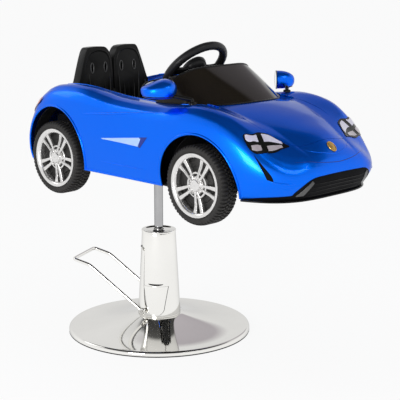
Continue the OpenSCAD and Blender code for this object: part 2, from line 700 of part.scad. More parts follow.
// Body panels
panel_row_count = 9;
edge_turn_shares = [0.36, 0.63];
function high_row(x) = let (reach = nose_x - mid_x)
    mix(lip_row_share, hood_row_share,
        ease(mid_x + edge_turn_shares[0] * reach, mid_x + edge_turn_shares[1] * reach,
        x));
module body_side() {
    xs = concat(arch_stations(rear_axle_x, rear_arch_r, rear_seam_angle, 0, 10),
        run(rear_axle_x + rear_arch_r + arch_step,
        front_axle_x - front_arch_r - arch_step, 7),
            arch_stations(front_axle_x, front_arch_r, 180, acos(seam_share), 11));
    qs = [for (x = xs) side_q(x)];
    skin_panel(qs, [for (x = xs) low_row(x, half_width)], [for (x = xs) high_row(x)], panel_row_count, 0,
        panel_wall);
}
module side_panel_left() {
    color("royalblue") body_side();
}
module side_panel_right() {
    color("royalblue") mirror([0, 1, 0]) body_side();
}
module front_bumper() {
    arch = concat([front_seam_x + seat_gap],
        arch_stations(front_axle_x, front_arch_r, bumper_seam_angle, 0, 4),
        [front_axle_x + front_arch_r + arch_step]);
    edge = [for (x = arch) arch_q(x)];
    nose = run(edge[len(edge) - 1], -edge[len(edge) - 1], 22);
    qs = concat(edge, [for (i = [1 : len(nose) - 2]) nose[i]],
        [for (i = [len(edge) - 1 : -1 : 0]) -edge[i]]);
    lows = concat([for (x = arch) low_row(x, half_width)], [for (i = [1 : len(nose) - 2]) 0],
        [for (i = [len(arch) - 1 : -1 : 0]) low_row(arch[i], half_width)]);
    color("royalblue") skin_panel(qs, lows, [for (q = qs) hood_row_share], panel_row_count, 0, panel_wall);
}
module rear_body() {
    arch = concat([rear_seam_x - seat_gap],
        arch_stations(rear_axle_x, rear_arch_r, tail_seam_angle, 180, 5),
        [rear_axle_x - rear_arch_r - arch_step]);
    edge = [for (x = arch) arch_q(x)];
    last = edge[len(edge) - 1];
    tail = run(last, 8 - last, 16);
    qs = concat(edge, [for (i = [1 : len(tail) - 2]) tail[i]],
        [for (i = [len(edge) - 1 : -1 : 0]) 8 - edge[i]]);
    lows = concat([for (x = arch) low_row(x, half_width)], [for (i = [1 : len(tail) - 2]) 0],
        [for (i = [len(arch) - 1 : -1 : 0]) low_row(arch[i], half_width)]);
    color("royalblue") skin_panel(qs, lows, [for (q = qs) lip_row_share], panel_row_count, 0, panel_wall);
}

// Windscreen and bonnet share the curve where the glass meets the body
screen_rear_x = mid_x;
screen_reach = 0.438 * (nose_x - mid_x);
screen_half = 0.347 * body_width;
screen_square_share = 2.4;
screen_top_offset = 20;
screen_top_rear_x = mid_x + screen_top_offset;
screen_top_reach = 66;
screen_top_half = 0.285 * body_width;
screen_top_square_share = 2.4;
screen_end_drop = 32;
screen_bulge = 3;
cowl_inset = 12;
dash_inset = 17;
function arc_point(x, reach, half, n, a) =
    [x + reach * pow(abs(cos(a)), 2 / n), half * sign(a) * pow(abs(sin(a)), 2 / n)];
function glass_foot(a, inset) = arc_point(screen_rear_x, screen_reach - inset, screen_half - inset,
    screen_square_share, a);
function glass_top(a, inset) =
    arc_point(screen_top_rear_x, screen_top_reach - inset, screen_top_half - inset,
        screen_top_square_share, a);
function glass_point(a, t, inset) = let (f = glass_foot(a, inset), h = glass_top(a, inset),
    p = mix(f, h, t) + screen_bulge * sin(180 * t) * [cos(a), sin(a)], g = glass_foot(a, 0),
    low = top_z(g[0], g[1]) + 2 * seat_gap, high = sill_height + screen_rise
        - screen_end_drop * pow(sin(a), 4))
    [p[0], p[1], mix(low, high, t)];
module windscreen() {
    turns = [-90, -84, -78, -70, -62, -54, -46, -38, -30, -22, -14, -7, 0, 7, 14, 22, 30, 38, 46, 54, 62,
        70, 78, 84, 90];
    color([0.12, 0.1, 0.09]) shell_between([for (t = steps(5)) [for (a = turns)
        glass_point(a, t, screen_wall)]], [for (t = steps(5)) [for (a = turns) glass_point(a, t, 0)]]);
}
hood_gap = 2.4;
hood_q_share = 1.35;
hood_angle = 58;
module hood() {
    qs = run(-hood_q_share, hood_q_share, 26);
    grid = [for (t = steps(6)) [for (q = qs) let (e = skin(q, hood_row_share, panel_wall + hood_gap),
        cowl = glass_foot(hood_angle * q / hood_q_share, cowl_inset)) mix([e[0], e[1]], cowl, t)]];
    color("royalblue") shell_between([for (r = grid) [for (p = r)
        [p[0], p[1], top_z(p[0], p[1]) - panel_wall]]],
        [for (r = grid) [for (p = r) [p[0], p[1], top_z(p[0], p[1])]]]);
}
badge_row_share = 8.75;
badge_thick = 3;
badge_wide_share = 1.3;
badge_gap = 0.8;
module badge() {
    low = skin(0, badge_row_share - 0.4);
    high = skin(0, badge_row_share + 0.4);
    slope_angle = atan2(high[2] - low[2], low[0] - high[0]);
    translate(skin(0, badge_row_share)) rotate([0, slope_angle, 0]) translate([0, 0, badge_gap])
        color("silver")
        linear_extrude(badge_thick)
            polygon([for (a = [0 : 15 : 345]) badge_width / 2 * [badge_wide_share * cos(a), sin(a)]]);
}

// Black trim of the nose and tail
splitter_tail = 24;
splitter_q_share = 1.17;
module splitter() {
    k = 0;
    qs = run(-splitter_q_share, splitter_q_share, 28);
    color("black") translate([0, 0, sill_height - splitter_thick - seat_gap]) linear_extrude(splitter_thick)
        polygon([for (q = qs) let (p = skin(q, k, -splitter_proud)) [p[0], p[1]],
            for (i = [len(qs) - 1 : -1 : 0]) let (p = skin(qs[i], k, splitter_tail)) [p[0], p[1]]]);
}
trim_thick = 3;
trim_gap = 0.9;
tail_gap = 1.5;
dam_q_share = 0.6;
module air_dam() {
    qs = run(-dam_q_share, dam_q_share, 14);
    color("black") skin_panel(qs, [for (q = qs) 0.25],
        [for (q = qs) 3.9 - 2.2 * pow(abs(q / dam_q_share), 5)],
        4, -trim_thick, -trim_gap);
}
// Lamp outline on the skin: place round the nose, lower row and upper row
lamp_shares = [[0.54, 9.5, 9.75], [0.62, 9, 9.85], [0.72, 8.25, 9.8], [0.82, 7.5, 9.3],
    [0.92, 6.7, 8.65], [1.02, 5.85, 7.85], [1.1, 5.6, 7.15], [1.14, 6, 6.6]];
lens_q_shares = [[0.6, 0.83], [0.94, 1.12]];
lens_row_shares = [[0.1, 0.34], [0.54, 0.92]];
lamp_thick = 2.4;
lens_thick = 2;
lens_gap = 0.6;
module lamp(side, qs, low, high, outset, inset) {
    lows = [for (q = qs) lookup(q, [for (r = lamp_shares) [r[0], r[1]]])];
    tops = [for (q = qs) lookup(q, [for (r = lamp_shares) [r[0], r[2]]])];
    rows = [for (i = [0 : len(qs) - 1]) [mix(lows[i], tops[i], low), mix(lows[i], tops[i], high)]];
    mirror([0, side > 0 ? 0 : 1, 0])
        skin_panel(qs, [for (r = rows) r[0]], [for (r = rows) r[1]], 4, outset, inset);
}
module headlights() {
    color("black") for (s = [-1, 1]) lamp(s, [for (r = lamp_shares) r[0]], 0, 1, -lamp_thick, -trim_gap);
}
module headlight_lenses() {
    color("lavender") for (s = [-1, 1], q = lens_q_shares, h = lens_row_shares)
        lamp(s, run(q[0], q[1], 5), h[0], h[1], -lamp_thick - lens_gap - lens_thick, -lamp_thick
            - lens_gap);
}
module tail_light() {
    color("red") skin_patch(2.86, 5.14, 5.1, 5.7, 26, 1, -trim_thick, -tail_gap);
}

// Dashboard
dash_foot_rise = 187;
dash_crest_rise = 308;
dash_foot_z = sill_height + dash_foot_rise;
dash_crest_z = sill_height + dash_crest_rise;
dash_nose_gap = 50;
dash_nose_x = screen_rear_x + screen_reach - dash_nose_gap;
dash_crest_depth = 72;
dash_crest_x = dash_face_x + dash_crest_depth;
dash_bevel = 12;
dash_wall = 5;
dash_side_gap = 10;
dash_half = box_half_mid - tub_wall - dash_side_gap;
cluster_width = 128;
cluster_height = 46;
cluster_depth = 64;
function dash_profile(d) =
    [[dash_face_x + d, dash_foot_z - (d > 0 ? cut_over : 0)], [dash_face_x + d, dash_crest_z - dash_bevel],
    [dash_face_x + dash_bevel, dash_crest_z - d], [dash_crest_x, dash_crest_z - d / 2],
    [dash_nose_x - d, top_z(dash_nose_x, 0) + dash_bevel - d],
        [dash_nose_x - d, dash_foot_z - (d > 0 ? cut_over : 0)]];
module under_glass(edge) {
    polygon(concat([[0, edge[0][1]]], edge, [[0, -edge[0][1]]]));
}
module dash_solid(d) {
    intersection() {
        translate([0, dash_half - d, 0]) rotate([90, 0, 0]) linear_extrude(2 * (dash_half - d))
            polygon(dash_profile(d));
        hull() {
            translate([0, 0, dash_foot_z - 2 * cut_over]) linear_extrude(top_z(mid_x, screen_half)
                - dash_foot_z) under_glass([for (a = [-90 : 10 : 90]) glass_foot(a, dash_inset + d)]);
            translate([0, 0, sill_height + screen_rise - screen_end_drop]) linear_extrude(cut_over)
                under_glass([for (a = [-90 : 10 : 90]) glass_top(a, dash_inset + d)]);
        }
    }
}
button_y = -74;
button_rise = 62;
button_z = dash_foot_z + button_rise;
button_r = 10;
button_stand = 5;
button_length = 18;
switch_y = 74;
switch_width = 24;
switch_height = 34;
switch_thick = 12;
switch_pin_r = 1.8;
switch_play = 1.4;
module dashboard() {
    color("black") difference() {
        union() {
            dash_solid(0);
            translate([dash_face_x, 0, dash_crest_z - dash_bevel]) rotate([90, 0, 90])
                linear_extrude(cluster_depth)
                polygon([for (a = [0 : 15 : 180]) [cluster_width / 2 * cos(a), cluster_height * sin(a)]]);
        }
        dash_solid(dash_wall);
        along_column() translate([0, 0, -joint_reach]) cylinder(r = column_r + run_gap, h = joint_reach);
        translate([dash_face_x - cut_over, button_y, button_z]) rotate([0, 90, 0])
            cylinder(r = button_r + run_gap, h = dash_wall + 2 * cut_over);
        translate([dash_face_x - cut_over, switch_y - switch_width / 2 - seat_gap, button_z
            - switch_height / 2 - switch_play])
            cube([dash_wall + 2 * cut_over, switch_width + 2 * seat_gap, switch_height + 2 * switch_play]);
        translate([dash_face_x + dash_wall / 2, switch_y + switch_width / 2 + dash_wall, button_z])
            rotate([90, 0, 0])
            cylinder(r = switch_pin_r + run_gap, h = switch_width + 2 * dash_wall);
    }
}
module start_button() {
    color("darkorange") translate([dash_face_x - button_stand, button_y, button_z]) rotate([0, 90, 0])
        cylinder(r = button_r, h = button_length);
}
module gear_switch() {
    color("silver") translate([dash_face_x + dash_wall / 2, switch_y, button_z]) {
        translate([0, 0, -switch_height / 2]) block([switch_thick, switch_width, switch_height]);
        translate([0, switch_width / 2 + dash_wall - cut_over, 0]) rotate([90, 0, 0])
            cylinder(r = switch_pin_r, h = switch_width + 2 * (dash_wall - cut_over));
    }
}

// Seat: one moulding with two backs
seat_half = box_half_rear - tub_wall - seat_gap;
squab_thick = 34;
back_thick = 36;
back_lean_angle = 3;
back_height = sill_height + seat_back_rise - seat_base_z;
squab_rear_x = back_x - back_thick / 2;
wing_reach = 26;
wing_width = 24;
wing_height = 190;
seat_bolt_r = 3;
seat_bolt_depth = 14;
seat_head_r = 7;
seat_head_height = 3;
seat_bolt_half = 70;
seat_bolt_spots = [for (x = risers, y = [-1, 1]) [x + riser_thick / 2, y * seat_bolt_half]];
// One seat back from the middle of the car outwards: share of the half width, share of the height
back_shares = [[0.015, 0.1], [1, 0.1], [1, 0.56], [0.93, 0.65], [0.86, 0.76], [0.74, 0.93], [0.69, 0.975],
    [0.61, 1], [0.22, 1], [0.13, 0.975], [0.06, 0.91], [0.02, 0.82]];
module double_seat() {
    color("black") difference() {
        union() {
            translate([squab_rear_x, -seat_half, seat_base_z])
                cube([squab_front_x - squab_rear_x, 2 * seat_half, squab_thick]);
            translate([back_x, 0, seat_base_z]) rotate([0, -back_lean_angle, 0]) {
                for (s = [-1, 1]) rotate([90, 0, -90]) linear_extrude(back_thick)
                    polygon([for (p = back_shares) [s * p[0] * seat_half, p[1] * back_height]]);
                translate([-back_thick, -seat_half, 0.05 * back_height])
                    cube([back_thick, 2 * seat_half, 0.5 * back_height]);
                for (s = [-1, 1]) translate([-cut_over, s > 0 ? seat_half - wing_width : -seat_half,
                    0.08 * back_height])
                    cube([wing_reach, wing_width, wing_height]);
            }
        }
        for (p = seat_bolt_spots) translate([p[0], p[1], seat_base_z - cut_over])
            cylinder(r = seat_bolt_r + run_gap, h = squab_thick + 2 * cut_over);
    }
}
module seat_bolts() {
    color("silver") for (p = seat_bolt_spots) translate([p[0], p[1], seat_base_z - seat_bolt_depth]) {
        cylinder(r = seat_bolt_r, h = seat_bolt_depth + squab_thick);
        translate([0, 0, seat_bolt_depth + squab_thick]) cylinder(r = seat_head_r, h = seat_head_height);
    }
}

// Mirrors
mirror_ahead = 43;
mirror_x = dash_face_x + mirror_ahead;
mirror_y = 0.457 * body_width;
mirror_left_rise = 284;
mirror_right_rise = 299;
mirror_length = 124;
mirror_depth = 56;
mirror_height = 68;
mirror_lip = 5;
mirror_angle = -45;
stalk_r = 9;
stalk_drop_share = 0.3;
stalk_reach = 91;
stalk_foot_x = mirror_x + stalk_reach;
stalk_foot_y = 0.363 * body_width;
foot_r = 13;
module mirror_frame(rise) {
    translate([mirror_x, mirror_y, sill_height + rise]) rotate([0, 0, mirror_angle]) children();
}
module mirror_body(rise) {
    foot_z = seat_gap + max([for (a = [0 : 45 : 315])
        top_z(stalk_foot_x + foot_r * cos(a), stalk_foot_y + foot_r * sin(a))]);
    mirror_frame(rise) difference() {
        resize([mirror_length, 2 * mirror_depth, mirror_height]) sphere(r = mirror_length / 2, $fn = 24);
        translate([-mirror_length, -2 * mirror_depth - mirror_lip, -mirror_height])
            cube([2 * mirror_length, 2 * mirror_depth, 2 * mirror_height]);
    }
    hull() {
        translate([stalk_foot_x, stalk_foot_y, foot_z]) cylinder(r = foot_r, h = stalk_r / 2, $fn = 16);
        translate([stalk_foot_x, stalk_foot_y, foot_z + stalk_r]) sphere(r = stalk_r, $fn = 12);
    }
    hull() {
        translate([stalk_foot_x, stalk_foot_y, foot_z + stalk_r]) sphere(r = stalk_r, $fn = 12);
        translate([mirror_x + mirror_depth / 2, mirror_y, sill_height + rise
            - stalk_drop_share * mirror_height]) sphere(r = stalk_r, $fn = 12);
    }
}
module mirror_left() {
    color("royalblue") mirror_body(mirror_left_rise);
}
module mirror_right() {
    color("royalblue") mirror([0, 1, 0]) mirror_body(mirror_right_rise);
}
glass_thick = 2;
glass_share = 0.44;
module mirror_glasses() {
    color("lightblue") for (s = [[0, mirror_left_rise], [1, mirror_right_rise]]) mirror([0, s[0], 0])
        mirror_frame(s[1])
        translate([0, -mirror_lip - seat_gap, 0]) rotate([90, 0, 0]) linear_extrude(glass_thick)
            polygon([for (a = [0 : 15 : 345]) glass_share * [mirror_length * cos(a),
                mirror_height * sin(a)]]);
}

// Arch liners and axles
liner_wall = 3;
front_liner_inset = 55;
rear_liner_inset = 41;
front_liner_y = half_width - front_liner_inset;
rear_liner_y = half_width - rear_liner_inset;
module liner(x, z, r, y_in, y_out) {
    translate([x, y_out, z]) rotate([90, 0, 0]) linear_extrude(y_out - y_in) difference() {
        circle(r = r - cut_over, $fn = 64);
        circle(r = r - cut_over - liner_wall, $fn = 64);
        translate([-2 * r, -3 * r + tray_top + seat_gap - z]) square([4 * r, 3 * r]);
    }
}
module arch_liners() {
    color([0.08, 0.08, 0.09]) for (s = [0, 1]) mirror([0, s, 0]) {
        liner(front_axle_x, front_arch_z, front_arch_r, front_well_y, front_liner_y);
        liner(rear_axle_x, rear_arch_z, rear_arch_r, rear_well_y, rear_liner_y);
    }
}
axle_r = axle_dia / 2;
wheel_inner_y = track_width / 2 - tyre_width;
axle_end_inset = 16;
axle_end_y = track_width / 2 - axle_end_inset;
module rear_axle() {
    color("silver") translate([rear_axle_x, axle_end_y, axle_z]) rotate([90, 0, 0])
        cylinder(r = axle_r, h = 2 * axle_end_y);
}
king_inset = 20;
king_y = wheel_inner_y - king_inset;
king_r = 4;
barrel_r = 9;
barrel_half = 14;
ear_gap = 2;
yoke_thick = 6;
ear_length = 14;
web_y = king_y - ear_length;
web_thick = 4;
beam_half = 10;
module front_axle() {
    yoke_reach = barrel_half + ear_gap + yoke_thick;
    color("dimgray") translate([front_axle_x, 0, 0]) difference() {
        union() {
            translate([-beam_half, -web_y, tray_top])
                cube([2 * beam_half, 2 * web_y, axle_z + beam_half - tray_top]);
            for (s = [-1, 1]) {
                translate([-beam_half, s > 0 ? web_y - web_thick : -web_y, axle_z - yoke_reach])
                    cube([2 * beam_half, web_thick, 2 * yoke_reach]);
                for (z = [-yoke_reach, yoke_reach - yoke_thick]) translate([0, s * king_y, axle_z + z]) {
                    cylinder(r = barrel_r, h = yoke_thick);
                    translate([-barrel_r, s > 0 ? -ear_length - 1.5 * cut_over : 0, 0])
                        cube([2 * barrel_r, ear_length + 1.5 * cut_over, yoke_thick]);
                }
            }
        }
        for (s = [-1, 1]) translate([0, s * king_y, sill_height])
            cylinder(r = king_r + run_gap, h = 2 * axle_rise + king_y);
    }
}

// Steering gear
arm_length = 50;
arm_half = 7;
arm_thick = 6;
link_pin_r = 3;
link_play = 0.6;
link_slot = 2.4;
link_r = 4;
link_drop = 12;
link_end = 6;
module knuckle(side) {
    stub_from = king_y;
    translate([front_axle_x, side * king_y, axle_z]) difference() {
        union() {
            translate([0, 0, -barrel_half]) cylinder(r = barrel_r, h = 2 * barrel_half);
            translate([0, 0, -barrel_half - ear_gap - yoke_thick])
                cylinder(r = king_r, h = 2 * (barrel_half + ear_gap + yoke_thick));
            rotate([-side * 90, 0, 0]) cylinder(r = axle_r, h = axle_end_y - stub_from);
            translate([-arm_length, -arm_half, -arm_thick / 2]) cube([arm_length, 2 * arm_half, arm_thick]);
            translate([-arm_length, 0, -arm_thick / 2]) cylinder(r = arm_half, h = arm_thick);
        }
        for (d = [-link_slot, link_slot]) translate([-arm_length + d, 0, -arm_thick])
            cylinder(r = link_pin_r + link_play, h = 2 * arm_thick);
        translate([-arm_length - link_slot, -link_pin_r - link_play, -arm_thick])
            cube([2 * link_slot, 2 * (link_pin_r + link_play), 2 * arm_thick]);
    }
}
module knuckle_left() {
    color("gray") knuckle(1);
}
module knuckle_right() {
    color("gray") knuckle(-1);
}
wheel_stand = 78;
wheel_centre_x = dash_face_x - wheel_stand;
wheel_centre_rise = 335;
wheel_centre_z = sill_height + wheel_centre_rise;
column_r = 8;
joint_reach = 150;
joint_ball_r = 6;
joint_cup_wall = 3;
spindle_r = 5;
spindle_foot_rise = 20;
crank_reach = 13.5;
crank_half = 6;
crank_thick = 5;
crank_pin_r = 3;
crank_pin_length = 9;
joint_x = wheel_centre_x + joint_reach * cos(steering_lean);
joint_z = wheel_centre_z - joint_reach * sin(steering_lean);
link_z = axle_z - link_drop;
link_x = front_axle_x - arm_length;
spindle_foot_x = link_x + crank_reach;
spindle_foot_z = tray_top + spindle_foot_rise;
spindle_tilt = atan2(spindle_foot_x - joint_x, joint_z - spindle_foot_z);
spindle_length = norm([spindle_foot_x - joint_x, joint_z - spindle_foot_z]);
module along_column() {
    translate([wheel_centre_x, 0, wheel_centre_z]) rotate([0, steering_lean - 90, 0]) children();
}
module along_spindle() {
    translate([joint_x, 0, joint_z]) rotate([0, -spindle_tilt, 0]) children();
}
// Middle of the crank pin at the height of the tie rod, where the rod's slot lies
crank_end_x = spindle_foot_x - crank_reach * cos(spindle_tilt);
crank_end_z = spindle_foot_z - crank_reach * sin(spindle_tilt);
crank_x = crank_end_x + (crank_end_z - link_z) * tan(spindle_tilt);
slot_half_x = 10;
slot_half_y = 5;
link_plate_half = 13;
link_plate_thick = 3;
module tie_rod() {
    color("silver") {
        difference() {
            union() {
                for (s = [-1, 1]) translate([link_x, s > 0 ? king_y + link_end : -slot_half_y - link_r / 2,
                    link_z])
                    rotate([90, 0, 0]) cylinder(r = link_r, h = king_y + link_end - slot_half_y
                        - link_r / 2);
                translate([crank_x - link_plate_half, -slot_half_y - link_r, link_z - link_plate_thick / 2])
                    cube([2 * link_plate_half, 2 * (slot_half_y + link_r), link_plate_thick]);
                for (s = [-1, 1]) translate([link_x, s * king_y, link_z])
                    cylinder(r = link_pin_r, h = link_drop + arm_thick / 2 + ear_gap);
            }
            translate([crank_x - slot_half_x, -slot_half_y, link_z - 2 * link_r])
                cube([2 * slot_half_x, 2 * slot_half_y, 4 * link_r]);
        }
    }
}
bracket_width = 40;
bracket_head = 12;
bracket_rise = 44;
bracket_z = tray_top + bracket_rise;
bracket_wall = 6;
bracket_half = 34;
bracket_x = joint_x + (joint_z - bracket_z) * tan(spindle_tilt);
module spindle_bracket() {
    translate([bracket_x - bracket_half, -bracket_width / 2, bracket_z - bracket_head / 2])
        cube([2 * bracket_half, bracket_width, bracket_head]);
    for (x = [-bracket_half, bracket_half - bracket_wall])
        translate([bracket_x + x, -bracket_width / 2, tray_z])
        cube([bracket_wall, bracket_width, bracket_z - tray_z]);
}
module steering_spindle() {
    color("silver") along_spindle() {
        sphere(r = joint_ball_r);
        translate([0, 0, -spindle_length]) cylinder(r = spindle_r, h = spindle_length - joint_ball_r / 2);
        translate([-crank_reach, -crank_half, -spindle_length])
            cube([crank_reach, 2 * crank_half, crank_thick]);
        translate([-crank_reach, 0, -spindle_length]) cylinder(r = crank_half, h = crank_thick);
        translate([-crank_reach, 0, -spindle_length - crank_pin_length])
            cylinder(r = crank_pin_r, h = crank_pin_length + crank_thick / 2);
    }
}
module steering_column() {
    cup_r = joint_ball_r + seat_gap + joint_cup_wall;
    color("silver") along_column() difference() {
        union() {
            translate([0, 0, -joint_reach + joint_ball_r])
                cylinder(r = column_r, h = joint_reach - joint_ball_r - hub_floor);
            translate([0, 0, -joint_reach]) sphere(r = cup_r);
        }
        translate([0, 0, -joint_reach]) sphere(r = joint_ball_r + seat_gap);
        translate([0, 0, -joint_reach - 2 * cup_r]) cylinder(r = 2 * cup_r, h = 2 * cup_r);
    }
}
hub_floor = 5;
hub_back = 18;
hub_front = 20;
wheel_hub_r = 44;
spoke_r = 8;
horn_r = horn_dia / 2;
horn_travel = 3;
horn_stand = 2;
module steering_wheel() {
    rim_r = steering_rim_dia / 2;
    ring_r = steering_wheel_dia / 2 - rim_r;
    color("black") along_column() difference() {
        union() {
            rotate_extrude($fn = 72) translate([ring_r, 0]) circle(r = rim_r, $fn = 24);
            translate([0, 0, -hub_back]) cylinder(r1 = 0.6 * wheel_hub_r, r2 = wheel_hub_r, h = hub_back);
            cylinder(r = wheel_hub_r, h = hub_front);
            for (a = [90, 180, 270]) rotate([0, 90, a]) translate([spoke_r / 2, 0, 0])
                cylinder(r = spoke_r, h = ring_r);
        }
        translate([0, 0, -hub_back - cut_over])
            cylinder(r = column_r + run_gap, h = hub_back + cut_over - hub_floor);
        translate([0, 0, -cut_over]) cylinder(r = horn_r + run_gap, h = hub_front + 2 * cut_over);
    }
}
module horn_button() {
    color("darkgray") along_column() translate([0, 0, horn_travel])
        cylinder(r = horn_r, h = hub_front + horn_stand - horn_travel);
}
module accelerator() {
    pin_half = pedal_width / 2 + seat_gap + pedal_ear;
    color("dimgray") translate([pedal_pin_x, pedal_pin_y, tub_floor_top + pedal_pin_rise]) {
        translate([0, pin_half, 0]) rotate([90, 0, 0]) cylinder(r = pedal_pin_r, h = 2 * pin_half);
        rotate([0, pedal_lean_angle, 0]) translate([-pedal_plate / 2, -pedal_width / 2, 0])
            cube([pedal_plate, pedal_width, pedal_length]);
    }
}

// Wheels, turned about their own Z and then laid along the axle
rim_lip_r = rim_dia / 2;
rim_lip_height = 3;
bead_r = rim_lip_r - rim_lip_height;
bead_inset = 8;
tyre_r = tyre_dia / 2;
side_round = 10;
side_bulge = 3;
centre_groove = 6;
tread_depth = 5;
slot_share = 0.28;
shoulder_width = 24;
rim_wall = 5;
lip_thick = 5;
face_depth = 14;
face_inset = 9;
hub_tube_r = 15;
hub_boss_r = 27;
cap_r = 21;
cap_rise = 4;
spoke_angle = 62;
module at_wheel(x, side) {
    translate([x, side * wheel_inner_y, axle_z]) rotate([-side * 90, 0, 0]) children();
}
function tyre_half(w) = [[bead_r + seat_gap, bead_inset + lip_thick], [bead_r + seat_gap, bead_inset], 
    [rim_lip_r + side_bulge, bead_inset], [rim_lip_r + 1.5 * side_bulge, side_bulge],
        [rim_lip_r + side_round, 0],
    [tyre_r - side_round, side_bulge], [tyre_r - side_bulge, side_round], [tyre_r, 2 * side_round]];
module tyre() {
    half = tyre_half(tyre_width);
    color([0.07, 0.07, 0.08]) difference() {
        rotate_extrude($fn = 96) polygon(concat(half,
            [for (i = [len(half) - 1 : -1 : 0]) [half[i][0], tyre_width - half[i][1]]]));
        for (top = [0, 1]) translate([0, 0, top > 0 ? tyre_width - shoulder_width : -cut_over])
            linear_extrude(shoulder_width + cut_over)
            for (i = [0 : tread_count - 1]) rotate((i + top / 2) * 360 / tread_count)
                translate([tyre_r - tread_depth, -slot_share * PI * tyre_r / tread_count])
                    square([2 * tread_depth, 2 * slot_share * PI * tyre_r / tread_count]);
        translate([0, 0, (tyre_width - centre_groove) / 2])
            ring(tyre_r + cut_over, tyre_r - tread_depth, centre_groove, $fn = 96);
    }
}
module spoke_plan() {
    foot = 0.55 * hub_boss_r;
    tip = bead_r - rim_wall / 2;
    half_tip = 0.46 * PI * tip / spoke_count * 0.72;
    for (i = [0 : spoke_count - 1]) rotate(i * 360 / spoke_count + spoke_angle) difference() {
        polygon([[foot, -foot * 0.62], [tip, -half_tip], [tip, half_tip], [foot, foot * 0.62]]);
        polygon([[0.45 * tip, -0.02 * tip], [0.95 * tip, -0.45 * half_tip], [0.95 * tip, 0.45 * half_tip],
            [0.45 * tip, 0.02 * tip]]);
    }
}
module rim() {
    face_z = tyre_width - face_inset - face_depth;
    color("silver") difference() {
        union() {
            translate([0, 0, bead_inset - lip_thick / 2])
                ring(bead_r, bead_r - rim_wall, tyre_width - 2 * bead_inset + lip_thick, $fn = 96);
            for (z = [bead_inset - lip_thick - seat_gap, tyre_width - bead_inset + seat_gap])
                translate([0, 0, z])
                ring(rim_lip_r, bead_r - rim_wall, lip_thick, $fn = 96);
            translate([0, 0, face_z]) linear_extrude(face_depth) spoke_plan();
            translate([0, 0, bead_inset]) cylinder(r = hub_tube_r, h = face_z);
            translate([0, 0, face_z]) cylinder(r = hub_boss_r, h = face_depth);
            translate([0, 0, face_z]) cylinder(r = cap_r, h = face_depth + cap_rise);
        }
        translate([0, 0, -cut_over])
            cylinder(r = axle_r + run_gap, h = axle_end_y - wheel_inner_y + 2 * cut_over);
    }
}
module tyre_front_left() { at_wheel(front_axle_x, 1) tyre(); }
module tyre_front_right() { at_wheel(front_axle_x, -1) tyre(); }
module tyre_rear_left() { at_wheel(rear_axle_x, 1) tyre(); }
module tyre_rear_right() { at_wheel(rear_axle_x, -1) tyre(); }
module rim_front_left() { at_wheel(front_axle_x, 1) rim(); }
module rim_front_right() { at_wheel(front_axle_x, -1) rim(); }
module rim_rear_left() { at_wheel(rear_axle_x, 1) rim(); }
module rim_rear_right() { at_wheel(rear_axle_x, -1) rim(); }

base_plate();
base_ring();
base_cover();
pump_body();
pump_gland();
pump_bolts();
shroud();
shroud_cap();
shroud_panel();
piston_head();
piston_seals();
pedal_shaft();
pedal_frame();
pump_plunger();
ram_rod();
seat_plate();
plate_bolts();
underframe();
chassis_tub();
side_panel_left();
side_panel_right();
hood();
front_bumper();
rear_body();
splitter();
air_dam();
headlights();
headlight_lenses();
tail_light();
windscreen();
dashboard();
double_seat();
seat_bolts();
mirror_left();
mirror_right();
mirror_glasses();
badge();
arch_liners();
front_axle();
rear_axle();
steering_wheel();
steering_column();
steering_spindle();
horn_button();
knuckle_left();
knuckle_right();
tie_rod();
start_button();
gear_switch();
accelerator();
tyre_front_left();
tyre_front_right();
tyre_rear_left();
tyre_rear_right();
rim_front_left();
rim_front_right();
rim_rear_left();
rim_rear_right();
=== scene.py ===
"""Child's barber chair: a ride-on sports car carried by a chrome hydraulic pump on a round base.

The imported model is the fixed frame. This script keeps its places and sizes, models the visible
pieces in finer detail over it, gives every surface its finish, and sets the studio and camera.
All lengths are in metres, +X runs to the nose, +Y to the car's left and +Z up.
"""

from __future__ import annotations

import json
import logging
import math
from dataclasses import dataclass, field
from enum import Enum
from typing import Sequence

import bpy
from mathutils import Euler, Matrix, Vector

